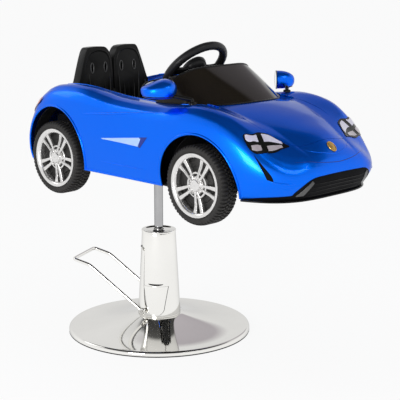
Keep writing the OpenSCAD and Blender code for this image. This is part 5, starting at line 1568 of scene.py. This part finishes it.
@dataclass
class PumpColumn:
    """Tapered chrome shroud with its cap, service panel and screw, the ram and the foot pedal.

    Attributes:
        foot: Height of the shroud's foot.
        top: Height of its top.
        foot_radius: Radius at the foot.
        top_radius: Radius at the top.
        wall: Sheet thickness.
        panel_turn: Heading of the service panel.
        panel_low: Height of its foot.
        panel_size: Width and height.
        panel_foot: Radius of its rounded foot.
        slot: Width and height of the grip slot over it.
        pedal_turn: Heading of the foot pedal.
        pivot: Distance off the axis and height of the pedal's shaft.
        bend: Where the bars bend, from the shaft.
        tread: Where the bars end.
        bar: Radius of the bars.
        bar_half: Half their spacing.
        ram_radius: Radius of the ram.
        ram_ends: Height of its foot and of its top.
        screw_turn: Heading of the screw on the shroud.
        screw_height: Height of that screw.
    """

    shop: Workshop
    foot: float = 0.0583
    top: float = 0.3573
    foot_radius: float = 0.075
    top_radius: float = 0.059
    wall: float = 0.002
    panel_turn: float = math.radians(-54)
    panel_low: float = 0.0663
    panel_size: Pair = (0.086, 0.104)
    panel_foot: float = 0.031
    slot: Pair = (0.054, 0.006)
    pedal_turn: float = math.radians(204)
    pivot: Pair = (0.03, 0.082)
    bend: Pair = (0.201, 0.148)
    tread: Pair = (0.263, 0.164)
    bar: float = 0.006
    bar_half: float = 0.083
    ram_radius: float = 0.0152
    ram_ends: Pair = (0.1835, 0.5628)
    screw_turn: float = math.radians(236)
    screw_height: float = 0.303

    def radius_at(self, height: float) -> float:
        """Outer radius of the shroud at a height."""
        return mix(self.foot_radius, self.top_radius, (height - self.foot) / (self.top - self.foot))

    def build(self) -> None:
        """Builds the column from the shroud to the pedal."""
        self.shroud()
        self.cap()
        self.panel()
        self.ram()
        self.pedal()

    def shroud(self) -> None:
        """Rolled cone with the grip slot."""
        outer = [(self.radius_at(z), z) for z in spread(self.foot + 0.001, self.top - 0.0012, 40)]
        profile = [(self.foot_radius - 0.0008, self.foot), *outer, (self.top_radius - 0.0008, self.top),
                   (self.top_radius - self.wall, self.top), (self.foot_radius - self.wall, self.foot)]
        cone = lathe("pump_shroud", profile, 200)
        width, height = self.slot
        low = self.panel_low + self.panel_size[1] + 0.003
        arc = [(width / 2 * math.cos(t), height - height * math.sin(t))
               for t in (math.pi * i / 16 for i in range(17))]
        tool = prism("slot_tool", arc, 0.12)
        placed(tool, moved(0, 0, low) @ turned(self.panel_turn + math.pi / 2) @ turned(math.pi / 2, "X"))
        cut(cone, [tool])
        self.shop.settle(cone, "base", CHROME, "shroud", shade=40)
        outer, foot, top = self.radius_at(low) - 0.006, low - 0.012, low + 0.02
        inner = outer - self.wall
        backing = lathe("slot_shadow", [(outer, foot), (outer, top), (inner, top), (inner, foot)], 96)
        self.shop.settle(backing, "base", SHADOW_BLACK, shade=40)

    def cap(self) -> None:
        """Cap with a rolled edge and the wiper collar of the ram."""
        edge, foot, top = self.top_radius + 0.0014, self.top + 0.0003, self.top + 0.005
        roll, groove = 0.002, top - 0.0016
        profile = [(edge, foot), *round_corner((edge - roll, top - roll), roll, 0, 90, 5), (0.05, top),
                   (0.047, groove), (0.024, groove), (0.0225, top), (0.0178, top), (0.0174, foot)]
        cap = lathe("pump_cap", profile, 160)
        self.shop.settle(cap, "base", CHROME, "shroud_cap", shade=40)

    def panel_half(self, rise: float) -> float:
        """Half the panel's width at a height over its foot."""
        if rise < self.panel_foot:
            return math.sqrt(max(1e-7, self.panel_foot ** 2 - (self.panel_foot - rise) ** 2))
        return mix(self.panel_foot, self.panel_size[0] / 2,
                   (rise - self.panel_foot) / (self.panel_size[1] - self.panel_foot))

    def panel(self) -> None:
        """Service panel laid on the cone, and one screw high on the cone."""
        rows = []
        for share in spread(0.06, 1, 30):
            rise = self.panel_size[1] * (share * share if share < 0.5 else mix(0.25, 1, share * 2 - 1))
            radius = self.radius_at(self.panel_low + rise) + self.wall + 0.0003
            half = math.asin(min(0.95, self.panel_half(rise) / radius))
            turns = [self.panel_turn + half * s for s in spread(-1, 1, 28)]
            rows.append([ring_point(radius, t, self.panel_low + rise) for t in turns])
        plate = sheet("service_panel", rows, self.wall, Vector((0, 0, 0.1)))
        rounded(plate, 0.0007, 2, 50)
        self.shop.settle(plate, "base", CHROME, "shroud_panel", shade=40)
        seams = []
        for side in (-1, 1):
            line = []
            for rise in spread(0.002, self.panel_size[1], 24):
                radius = self.radius_at(self.panel_low + rise) + 0.0002
                turn = self.panel_turn + side * math.asin((self.panel_half(rise) + 0.0006) / radius)
                line.append(ring_point(radius, turn, self.panel_low + rise))
            seams.append(bead(f"panel_seam_{side}", line, 0.0009, False))
        self.shop.settle(joined("panel_seams", seams), "base", SHADOW_BLACK)
        screw = lathe("shroud_screw", [(0.0006, 0.0016), (0.002, 0.0018), (0.0036, 0.001), (0.0038, 0),
                                       (0.0006, 0)], 24)
        place = ring_point(self.radius_at(self.screw_height), self.screw_turn, self.screw_height)
        placed(screw, moved(*place) @ turned(self.screw_turn) @ turned(math.pi / 2, "Y"))
        self.shop.settle(screw, "base", DARK_STEEL, shade=30)

    def ram(self) -> None:
        """Ground ram with chamfered ends."""
        radius, (low, high) = self.ram_radius, self.ram_ends
        profile = [(radius - 0.001, low), (radius, low + 0.001), (radius, high - 0.001), (radius - 0.001, high),
                   (0.004, high), (0.004, low)]
        rod = lathe("lift_ram", profile, 96)
        self.shop.settle(rod, "piston", RAM_CHROME, shade=40)
        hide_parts("ram_rod")

    def pedal(self) -> None:
        """One bent bar from hub to hub with its round hubs."""
        start = Vector((self.bend[0], 0, self.bend[1])).normalized() * 0.009
        ends = [start, Vector((self.bend[0], 0, self.bend[1])), Vector((self.tread[0], 0, self.tread[1]))]
        left = [p + Vector((0, self.bar_half, 0)) for p in ends]
        right = [p - Vector((0, self.bar_half, 0)) for p in reversed(ends)]
        frame = tube("pedal_bar", filleted([*left, *right], 0.014, 6), self.bar, 8)
        hubs = []
        profile = [(0.0065, -0.006), (0.01, -0.006), (0.011, -0.005), (0.011, 0.005), (0.01, 0.006),
                   (0.0065, 0.006)]
        for side in (-1, 1):
            hub = lathe(f"pedal_hub_{side}", profile, 48)
            hubs.append(placed(hub, moved(0, side * self.bar_half, 0) @ turned(math.pi / 2, "X")))
        pedal = joined("foot_pedal", [frame, *hubs])
        placed(pedal, turned(self.pedal_turn) @ moved(self.pivot[0], 0, self.pivot[1]))
        self.shop.settle(pedal, "pedal", CHROME, "pedal_frame", shade=45)


@dataclass
class RoadWheels:
    """Lugged tyres on rims with five double spokes.

    Attributes:
        inner_face: Distance of the inner face from the middle of the car.
        width: Width of the tyre.
        axle_height: Height of the axles.
        stations: X of the front and the rear axle.
        lug_count: Lugs round each shoulder.
        lug_lengths: Length round the tyre of a shoulder lug and of a middle block.
        block_width: Width of a middle block.
        block_radii: Radius of a middle block's foot and top.
        spoke_count: Double spokes, and studs between them.
        spoke_turn: Heading of the first double spoke.
        stud_radius: Distance of the studs from the axle.
    """

    shop: Workshop
    inner_face: float = 0.225
    width: float = 0.075
    axle_height: float = 0.627
    stations: Pair = (0.474, -0.2)
    lug_count: int = 60
    lug_lengths: Pair = (0.0072, 0.0082)
    block_width: float = 0.008
    block_radii: Pair = (0.1195, 0.1239)
    spoke_count: int = 5
    spoke_turn: float = math.radians(62)
    stud_radius: float = 0.0262

    def build(self) -> None:
        """Models one wheel and copies it to the four corners."""
        parts = ((self.tyre(), TYRE, "tyre"), (self.rim(), RIM, "rim"), (self.back_plate(), POCKET, ""))
        for corner in Corner:
            station = self.stations[0] if corner.value.startswith("front") else self.stations[1]
            side = corner.side.value
            place = moved(station, side * self.inner_face, self.axle_height) @ turned(-side * math.pi / 2, "X")
            for piece, finish, node in parts:
                copy = twin(piece, f"{piece.name}_{corner.value}", place)
                nodes = [f"{node}_{corner.value}"] if node else []
                self.shop.settle(copy, f"wheel_{corner.value}", finish, *nodes)
        for piece, _, _ in parts:
            bpy.data.objects.remove(piece)

    def lug_ring(self, name: str, outline: Sequence[Pair], depth: float, shift: float) -> Piece:
        """Ring of tread blocks.

        Args:
            name: Name of the ring.
            outline: Place along the axle and radius of each corner of a block.
            depth: Length of a block round the tyre.
            shift: Turn of the ring as a share of the pitch.

        Returns:
            The ring.
        """
        block = prism(name, outline, depth)
        rounded(block, 0.0006, 1, 30)
        stand = Matrix(((0, 1, 0, 0), (0, 0, 1, -depth / 2), (1, 0, 0, 0), (0, 0, 0, 1)))
        placed(block, turned(shift * FULL_TURN / self.lug_count) @ stand)
        return around(block, name, self.lug_count)

    def tyre(self) -> Piece:
        """Casing with shoulder lugs and two rows of middle blocks."""
        side = [(0.0977, 0.0135), (0.0977, 0.0086), (0.1, 0.0078), (0.103, 0.0052), (0.107, 0.003),
                (0.1112, 0.0022), (0.115, 0.0036), (0.1178, 0.0068), (0.1196, 0.012), (0.1204, 0.02)]
        casing = lathe("casing", [*side, *((r, self.width - z) for r, z in reversed(side))], 144)
        shoulder = [(0.0026, 0.1125), (0.0034, 0.1172), (0.0062, 0.1206), (0.0112, 0.1229), (0.0172, 0.1239),
                    (0.0262, 0.1239), (0.0262, 0.1195), (0.012, 0.118), (0.0058, 0.113)]
        rings = [self.lug_ring("inner_lugs", shoulder, self.lug_lengths[0], 0),
                 self.lug_ring("outer_lugs", [(self.width - a, r) for a, r in shoulder], self.lug_lengths[0],
                               0.5)]
        foot, top = self.block_radii
        for name, low, shift in (("low_blocks", 0.0285, 0.3), ("high_blocks", 0.0385, 0.8)):
            high = low + self.block_width
            outline = [(low, foot), (low, top), (high, top), (high, foot)]
            rings.append(self.lug_ring(name, outline, self.lug_lengths[1], shift))
        tyre = joined("tyre", [casing, *rings])
        smooth(tyre, 35)
        return tyre

    def spoke_bar(self, side: int) -> Piece:
        """One bar of a double spoke, dished towards its middle."""
        outline = [(0.018, 0.0005), (0.036, 0.0036), (0.062, 0.0056), (0.0872, 0.0076), (0.0872, 0.0222),
                   (0.062, 0.0166), (0.036, 0.0126), (0.018, 0.0076)]
        bar = prism(f"bar_{side}", [(x, side * y) for x, y in outline], 0.014)
        rounded(bar, 0.0024, 3, 30)
        for vertex in bar.data.vertices:
            x = vertex.co.x
            dish = 0.0045 * math.sin(math.pi * clamp((x - 0.02) / 0.07))
            vertex.co.z += 0.0525 - (dish if vertex.co.z > 0.005 else 0)
        return bar

    def rim(self) -> Piece:
        """Flanged barrel with five double spokes, hub, studs and a bare cap."""
        barrel = lathe("barrel", [
            (0.1, 0.0672), (0.1, 0.0702), (0.0988, 0.072), (0.0958, 0.0724), (0.0925, 0.0716), (0.0885, 0.0696),
            (0.0852, 0.0655), (0.0842, 0.06), (0.0842, 0.052), (0.09, 0.048), (0.0915, 0.009), (0.0935, 0.004),
            (0.1, 0.003), (0.1, 0.0075), (0.0968, 0.0082), (0.0968, 0.0668)], 144)
        bars = joined("double_spoke", [self.spoke_bar(-1), self.spoke_bar(1)])
        placed(bars, turned(self.spoke_turn))
        spokes = around(bars, "spokes", self.spoke_count)
        web = lathe("web", [(0.041, 0.0545), (0.041, 0.059), (0.0395, 0.0605), (0.0365, 0.0605), (0.035, 0.059),
                            (0.035, 0.0545)], 96)
        hub = lathe("hub", [
            (0.0292, 0.045), (0.0292, 0.0605), (0.0275, 0.0635), (0.0245, 0.0645), (0.0235, 0.0625),
            (0.0195, 0.0625), (0.0185, 0.0665), (0.0165, 0.0692), (0.0125, 0.0702), (0.006, 0.0706),
            (0.0008, 0.0707), (0.0008, 0.045)], 96)
        stud = lathe("stud", [(0.0024, 0.062), (0.0024, 0.066), (0.0017, 0.067), (0.0004, 0.067),
                              (0.0004, 0.062)], 16)
        placed(stud, turned(self.spoke_turn + math.pi / self.spoke_count) @ moved(self.stud_radius, 0, 0))
        studs = around(stud, "studs", self.spoke_count)
        rim = joined("rim", [barrel, spokes, web, hub, studs])
        smooth(rim, 35)
        return rim

    def back_plate(self) -> Piece:
        """Dark stepped disc behind the spokes."""
        disc = lathe("rim_pocket", [
            (0.0912, 0.036), (0.0912, 0.04), (0.08, 0.042), (0.078, 0.039), (0.058, 0.039), (0.056, 0.043),
            (0.034, 0.043), (0.03, 0.045), (0.012, 0.045), (0.012, 0.036)], 96)
        smooth(disc, 30)
        return disc


@dataclass
class DoubleSeat:
    """One black moulding with two backs, their pleats, belt slots and side bolsters.

    Attributes:
        back_x: X of the foot of the back's front face.
        base: Height of the seat's underside.
        front_x: X of the cushion's front.
        half: Half the width.
        height: Height of the backs.
        thick: Thickness of the backs.
        lean: How far the backs lean.
        outline: One back from the middle outwards, as shares of half width and height.
        middle_share: Middle of one back as a share of the half width.
        slot_place: Distance of a belt slot from the back's middle, and its height.
        slot_half: Half a slot's width and height.
        ring_half: Half width and height of the ring round a slot.
        pleats: Share of the half width, and shares of the height where a pleat starts and ends.
    """

    shop: Workshop
    back_x: float = -0.216
    base: float = 0.663
    front_x: float = -0.024
    half: float = 0.1677
    height: float = 0.325
    thick: float = 0.036
    lean: float = math.radians(-3)
    outline: tuple[Pair, ...] = ((0.015, 0.1), (1, 0.1), (1, 0.56), (0.93, 0.65), (0.86, 0.76), (0.74, 0.93),
                                 (0.68, 0.985), (0.61, 1), (0.24, 1), (0.14, 0.975), (0.06, 0.91), (0.02, 0.8))
    middle_share: float = 0.4
    slot_place: Pair = (0.03, 0.252)
    slot_half: Pair = (0.005, 0.015)
    ring_half: Pair = (0.0066, 0.0175)
    pleats: tuple[Place, ...] = ((0.14, 0.1, 0.74), (0.27, 0.11, 0.64), (0.4, 0.11, 0.6), (0.53, 0.11, 0.64),
                                 (0.66, 0.1, 0.74))

    def upright(self) -> Matrix:
        """Matrix from the back's own plane to the car."""
        stand = Matrix(((0, 0, 1, 0), (1, 0, 0, 0), (0, 1, 0, 0), (0, 0, 0, 1)))
        return moved(self.back_x, 0, self.base) @ turned(self.lean, "Y") @ stand

    def build(self) -> None:
        """Builds the seat."""
        parts = []
        for side in Side:
            parts += self.one_back(side.value)
        low, high = 0.016, 0.174
        web = prism("back_web", [(-self.half, low), (self.half, low), (self.half, high), (-self.half, high)],
                    self.thick)
        placed(web, moved(0, 0, -self.thick))
        rounded(web, 0.006, 3)
        parts.append(web)
        for part in parts:
            placed(part, self.upright())
        rear = self.back_x - self.thick / 2
        squab = prism("squab", [(rear, -self.half), (self.front_x, -self.half), (self.front_x, self.half),
                                (rear, self.half)], 0.034)
        placed(squab, moved(0, 0, self.base))
        rounded(squab, 0.01, 4)
        pads = [self.cushion(side.value) for side in Side]
        seat = joined("double_seat_moulding", [squab, *pads, *parts])
        self.shop.settle(seat, "car", SEAT, "double_seat", shade=40)

    def one_back(self, side: int) -> list[Piece]:
        """Shell, raised head pad, pleats and bolster of one back, with grey slot rings and pleat lines as
        painted highlights.

        Args:
            side: 1 for the left back and -1 for the right.

        Returns:
            The parts in the back's own plane.
        """
        plan = [(side * u * self.half, v * self.height) for u, v in self.outline]
        shell = prism(f"back_{side}", softened(plan), self.thick)
        placed(shell, moved(0, 0, -self.thick))
        middle = side * self.middle_share * self.half
        slots, rims = [], []
        for turn in (-1, 1):
            centre = (middle + turn * self.slot_place[0], self.slot_place[1])
            tool = prism("belt_slot", ellipse(centre, self.slot_half, 20), 0.03)
            slots.append(placed(tool, moved(0, 0, -0.012)))
            # Grey ring round each slot: painted highlight on the black seat.
            ring = [Vector((x, y, 0.0004)) for x, y in ellipse(centre, self.ring_half, 16)]
            rims.append(tube(f"slot_ring_{turn}", ring, 0.0016, 3, True))
        cut(shell, slots)
        rounded(shell, 0.0125, 5, 50)
        parts = [shell]
        for share, low, high in self.pleats:
            lean = (share - self.middle_share) * side * 0.03
            line = [Vector((side * share * self.half + lean * (s - 0.5), mix(low, high, s) * self.height,
                            -0.0012)) for s in spread(0, 1, 8)]
            parts.append(bead(f"pleat_{share}", line, 0.0068))
            if share != self.middle_share:
                # Grey line on each pleat's crest: painted highlight.
                crest = [point + Vector((0, 0, 0.0062)) for point in line[1:-1]]
                rims.append(bead(f"piping_{share}", crest, 0.0014))
        rim = placed(joined(f"belt_slot_rims_{side}", rims), self.upright())
        self.shop.settle(rim, "car", GREY_TRIM_AND_SHEEN, shade=40)
        bolster = [Vector((side * mix(0.94, 0.86, s) * self.half, mix(0.1, 0.6, s) * self.height,
                           mix(0.013, 0.001, s))) for s in spread(0, 1, 8)]
        parts.append(bead("bolster", bolster, 0.012))
        ridge = [Vector((side * u * self.half, v * self.height, -0.003))
                 for u, v in ((0.8, 0.6), (0.78, 0.74), (0.68, 0.9), (0.56, 0.945), (0.24, 0.945), (0.13, 0.9),
                              (0.08, 0.74), (0.07, 0.6))]
        parts.append(bead("head_ridge", ridge, 0.006))
        return parts

    def cushion(self, side: int) -> Piece:
        """Crowned seat cushion with cross pleats."""
        low, high = side * 0.05 * self.half, side * 0.95 * self.half
        rows = []
        for s in spread(0, 1, 24):
            x = mix(self.back_x + 0.012, self.front_x - 0.014, s)
            row = []
            for t in spread(0, 1, 20):
                crown = (1 - (2 * s - 1) ** 6) * (1 - (2 * t - 1) ** 6)
                pleat = 0.0012 * math.cos(s * FULL_TURN * 5) * crown
                row.append(Vector((x, mix(low, high, t), self.base + 0.0325 + 0.006 * crown + pleat)))
            rows.append(row)
        return sheet(f"cushion_{side}", rows, 0.004, Vector((-0.13, 0, 0)))


@dataclass
class Cockpit:
    """Steering wheel, windscreen and the dash behind it.

    Attributes:
        wheel_centre: Middle of the steering wheel.
        wheel_turn: Lean of the steering column about Y.
        ring: Radius of the steering wheel's ring and of its grip.
        glass_foot: Rear X, reach and half width of the screen's foot.
        glass_top: The same at its top edge.
        glass_rise: Height of the top edge over the sill.
        glass_drop: How far its ends hang down.
        glass_bow: How far it bows outwards half way up.
    """

    shop: Workshop
    wheel_centre: Place = (0.18, 0, 0.938)
    wheel_turn: float = math.radians(-46)
    ring: Pair = (0.109, 0.014)
    glass_foot: Place = (0.218746, 0.25724, 0.21028)
    glass_top: Place = (0.238746, 0.066, 0.17271)
    glass_rise: float = 0.355
    glass_drop: float = 0.032
    glass_bow: float = 0.003

    def build(self) -> None:
        """Builds the wheel, the screen and the dash."""
        self.steering_wheel()
        self.screen()
        dash = eased(self.shop.frame["nodes"]["dashboard"], "dash_moulding", 0.004)
        self.shop.settle(dash, "car", MOULDING, "dashboard")

    def steering_wheel(self) -> None:
        """Thick ring with three broad spokes and a domed pad."""
        radius, grip = self.ring
        deselect()
        bpy.ops.mesh.primitive_torus_add(major_radius=radius, minor_radius=grip, major_segments=112,
                                         minor_segments=24)
        ring = named("wheel_ring")
        for vertex in ring.data.vertices:
            turn = math.atan2(vertex.co.y, vertex.co.x)
            swell = 1 + 0.035 * math.cos(turn * 36) * (1 if vertex.co.z < 0 else 0.15)
            out = ring_point(radius, turn, 0)
            vertex.co = out + (vertex.co - out) * min(1.0, swell)
        pad = lathe("wheel_pad", [
            (0.018, -0.0178), (0.03, -0.017), (0.04, -0.008), (0.0438, 0.004), (0.0435, 0.011),
            (0.0395, 0.0165), (0.031, 0.0192), (0.022, 0.0198), (0.0184, 0.0198), (0.018, 0.002)], 96)
        half = [(0.034, 0.017), (0.06, 0.0115), (0.1, 0.0165)]
        outline = [*((x, -y) for x, y in half), *reversed(half)]
        spokes = []
        for turn in (90, 180, 270):
            spoke = prism("wheel_spoke", softened(outline), 0.011)
            rounded(spoke, 0.003, 3, 50)
            spokes.append(placed(spoke, turned(math.radians(turn)) @ moved(0, 0, -0.0095)))
        wheel = joined("steering_wheel_moulding", [ring, pad, *spokes])
        placed(wheel, moved(*self.wheel_centre) @ turned(self.wheel_turn, "Y"))
        self.shop.settle(wheel, "steering", GRIP, "steering_wheel", shade=40)

    def glass_point(self, turn: float, share: float, inset: float = 0.0) -> Vector:
        """Point of the screen by its heading and its share of the way up."""
        foot, top = (oval_point(*edge, turn, inset) for edge in (self.glass_foot, self.glass_top))
        point = foot.lerp(top, share) + ring_point(self.glass_bow * math.sin(math.pi * share), turn, 0)
        edge = oval_point(*self.glass_foot, turn)
        low = SKIN.top(edge.x, edge.y) + 0.0006
        high = SKIN.sill + self.glass_rise - self.glass_drop * math.sin(turn) ** 4
        point.z = mix(low, high, share)
        return point

    def screen(self) -> None:
        """Wrap-round screen, its rolled top edge and the dark strip at its foot."""
        turns = [math.radians(a) for a in spread(-90, 90, 108)]
        rows = [[self.glass_point(t, s) for t in turns] for s in spread(0, 1, 24)]
        glass = sheet("smoked_windscreen", rows, 0.003, Vector((0.2, 0, 0.8)))
        rounded(glass, 0.001, 2, 60)
        self.shop.settle(glass, "car", SMOKED, "windscreen", shade=40)
        lip = bead("screen_lip", [self.glass_point(t, 0.985, 0.0012) for t in turns], 0.0032, False)
        strip = bead("screen_foot", [self.glass_point(t, 0.012, -0.001) for t in turns], 0.0026, False)
        self.shop.settle(joined("screen_beads", [lip, strip]), "car", GLOSS_BLACK)


@dataclass
class DoorMirrors:
    """Blue mirror shells on short arms, with black frames and glass.

    Attributes:
        head: Station and distance out of a mirror head.
        rises: Height over the sill of the left and the right head.
        foot: Station and distance out of an arm's foot.
        size: Half length, depth and half height of a head.
        flat: Level where a head's underside starts, and share of the roundness left under it.
        groove: Level and radius of the dark line round a head.
        turn: Heading of a head.
    """

    shop: Workshop
    head: Pair = (0.301, 0.2769)
    rises: dict[Side, float] = field(default_factory=lambda: {Side.LEFT: 0.284, Side.RIGHT: 0.299})
    foot: Pair = (0.392, 0.22)
    size: Place = (0.056, 0.056, 0.034)
    flat: Pair = (-0.72, 0.16)
    groove: Pair = (-0.5, 0.0018)
    turn: float = math.radians(-45)

    def build(self) -> None:
        """Builds both mirrors."""
        glasses, frames = [], []
        for side in Side:
            place = moved(*self.head, SKIN.sill + self.rises[side]) @ turned(self.turn)
            flip = Matrix.Diagonal((1, side.value, 1, 1))
            name = side.name.lower()
            shell = placed(self.shell(f"mirror_shell_{name}"), place)
            arm = self.arm(side)
            groove = placed(bead(f"groove_{name}", self.belt(self.groove[0]), self.groove[1], False), place)
            frame = placed(tube("mirror_rim", self.oval(0.93, -0.0055), 0.0024, 4, True), place)
            glass = placed(self.glass(), place)
            for piece in (shell, arm, groove, frame, glass):
                placed(piece, flip)
                if side is Side.RIGHT:
                    piece.data.flip_normals()
            self.shop.settle(shell, "car", PAINT, f"mirror_{name}", shade=45)
            frames += [groove, frame, arm]
            glasses.append(glass)
        frame = joined("mirror_frames", frames)
        self.shop.settle(frame, "car", GLOSS_BLACK, shade=45)
        self.shop.settle(joined("mirror_glass_pair", glasses), "car", MIRROR, "mirror_glasses")

    def shape(self, x: float, z: float, depth: float) -> Vector:
        """Rounded box point of a head from a point of the unit ball."""
        long, deep, tall = self.size
        low, share = self.flat
        if z < low:
            z = low + (z - low) * share
        height = mix(0.5, 1.0, ease(-1, 0.45, x)) if z > 0 else 1.0
        return Vector((long * x, deep * depth, tall * z * height))

    @staticmethod
    def squared(x: float) -> float:
        """Place along the head, squarer at its outer end."""
        return math.copysign(abs(x) ** (0.66 if x > 0 else 0.9), x)

    @staticmethod
    def raised(z: float) -> float:
        """Level on the head, a little squarer than on a ball."""
        return math.copysign(abs(z) ** 0.82, z)

    def shell(self, name: str) -> Piece:
        """Half-egg head with a flat underside, open to the glass."""
        deselect()
        bpy.ops.mesh.primitive_uv_sphere_add(segments=64, ring_count=40, radius=1)
        head = named(name)
        for vertex in head.data.vertices:
            point = vertex.co.copy()
            vertex.co = self.shape(self.squared(point.x), self.raised(point.z), point.y)
        edit(head, "VERT")
        bpy.ops.mesh.bisect(plane_co=(0, -0.0045, 0), plane_no=(0, -1, 0), use_fill=True, clear_outer=True)
        leave_edit()
        outward(head)
        rounded(head, 0.0016, 3, 40)
        return head

    def belt(self, level: float) -> list[Vector]:
        """Points round the outside of a head at a level."""
        wide = math.sqrt(1 - level * level)
        points = []
        for turn in spread(0, math.pi, 24):
            point = self.shape(self.squared(wide * math.cos(turn)), self.raised(level), wide * math.sin(turn))
            points.append(point)
        return points

    def arm(self, side: Side) -> Piece:
        """Flat-sided arm from the fender to the head."""
        foot = Vector((self.foot[0], self.foot[1], SKIN.top(*self.foot) + 0.004))
        head = Vector((self.head[0] + 0.028, self.head[1], SKIN.sill + self.rises[side] - 0.012))
        arm = tube("mirror_arm", filleted([foot, foot + Vector((0, 0, 0.011)), head], 0.008, 4), 0.0062, 6)
        base = lathe("mirror_foot", [(0.0125, -0.003), (0.0125, 0.0015), (0.011, 0.0035), (0.004, 0.005),
                                     (0.004, -0.003)], 40)
        placed(base, moved(*foot))
        return joined("mirror_arm", [arm, base])

    def oval(self, grow: float, depth: float) -> list[Vector]:
        """Oval of the mirror opening."""
        long, _, tall = self.size
        return [Vector((x, depth, z)) for x, z in ellipse((0, 0), (long * grow, tall * grow * 0.92), 40)]

    def glass(self) -> Piece:
        """Flat glass in its frame."""
        plate = prism("mirror_plate", [(p.x, p.z) for p in self.oval(0.9, 0)], 0.002)
        return placed(plate, moved(0, -0.0054, 0) @ turned(math.pi / 2, "X"))


@dataclass
class Badge:
    """Plain oval plate on the nose, with a raised border.

    Attributes:
        row: Row of the skin that its middle lies on.
        half_width: Half its width.
        half_length: Half its length.
    """

    shop: Workshop
    row: float = 8.75
    half_width: float = 0.015
    half_length: float = 0.0195

    def build(self) -> None:
        """Turns the plate and lays it on the nose."""
        plate = lathe("oval_badge", [
            (1.0, 0.0002), (1.0, 0.0018), (0.96, 0.0028), (0.9, 0.0031), (0.84, 0.0027), (0.8, 0.0019),
            (0.5, 0.0024), (0.02, 0.0026), (0.02, 0.0002)], 64)
        middle = SKIN.point(0, self.row)
        ahead = (SKIN.point(0, self.row - 0.15) - middle).normalized()
        face = ahead.cross(Vector((0, 1, 0))).normalized()
        turn = Matrix((ahead, face.cross(ahead), face)).transposed().to_4x4()
        size = Matrix.Diagonal((self.half_length, self.half_width, 1, 1))
        placed(plate, moved(*middle) @ turn @ size)
        self.shop.settle(plate, "car", GOLD, "badge", shade=40)


def main() -> None:
    """Builds the chair from its base up."""
    logging.basicConfig(level=logging.INFO, format="%(message)s")
    shop = Workshop()
    Studio().build()
    for finish, nodes in NODE_FINISHES:
        for node in nodes:
            shop.dress_node(node, finish)
    for part in (PumpBase(shop), PumpColumn(shop), BodyShell(shop), NoseTrim(shop), Badge(shop), Cockpit(shop),
                 DoubleSeat(shop), DoorMirrors(shop), RoadWheels(shop)):
        part.build()
    log.info("%d modelled pieces", shop.count)


if __name__ == "__main__":
    main()
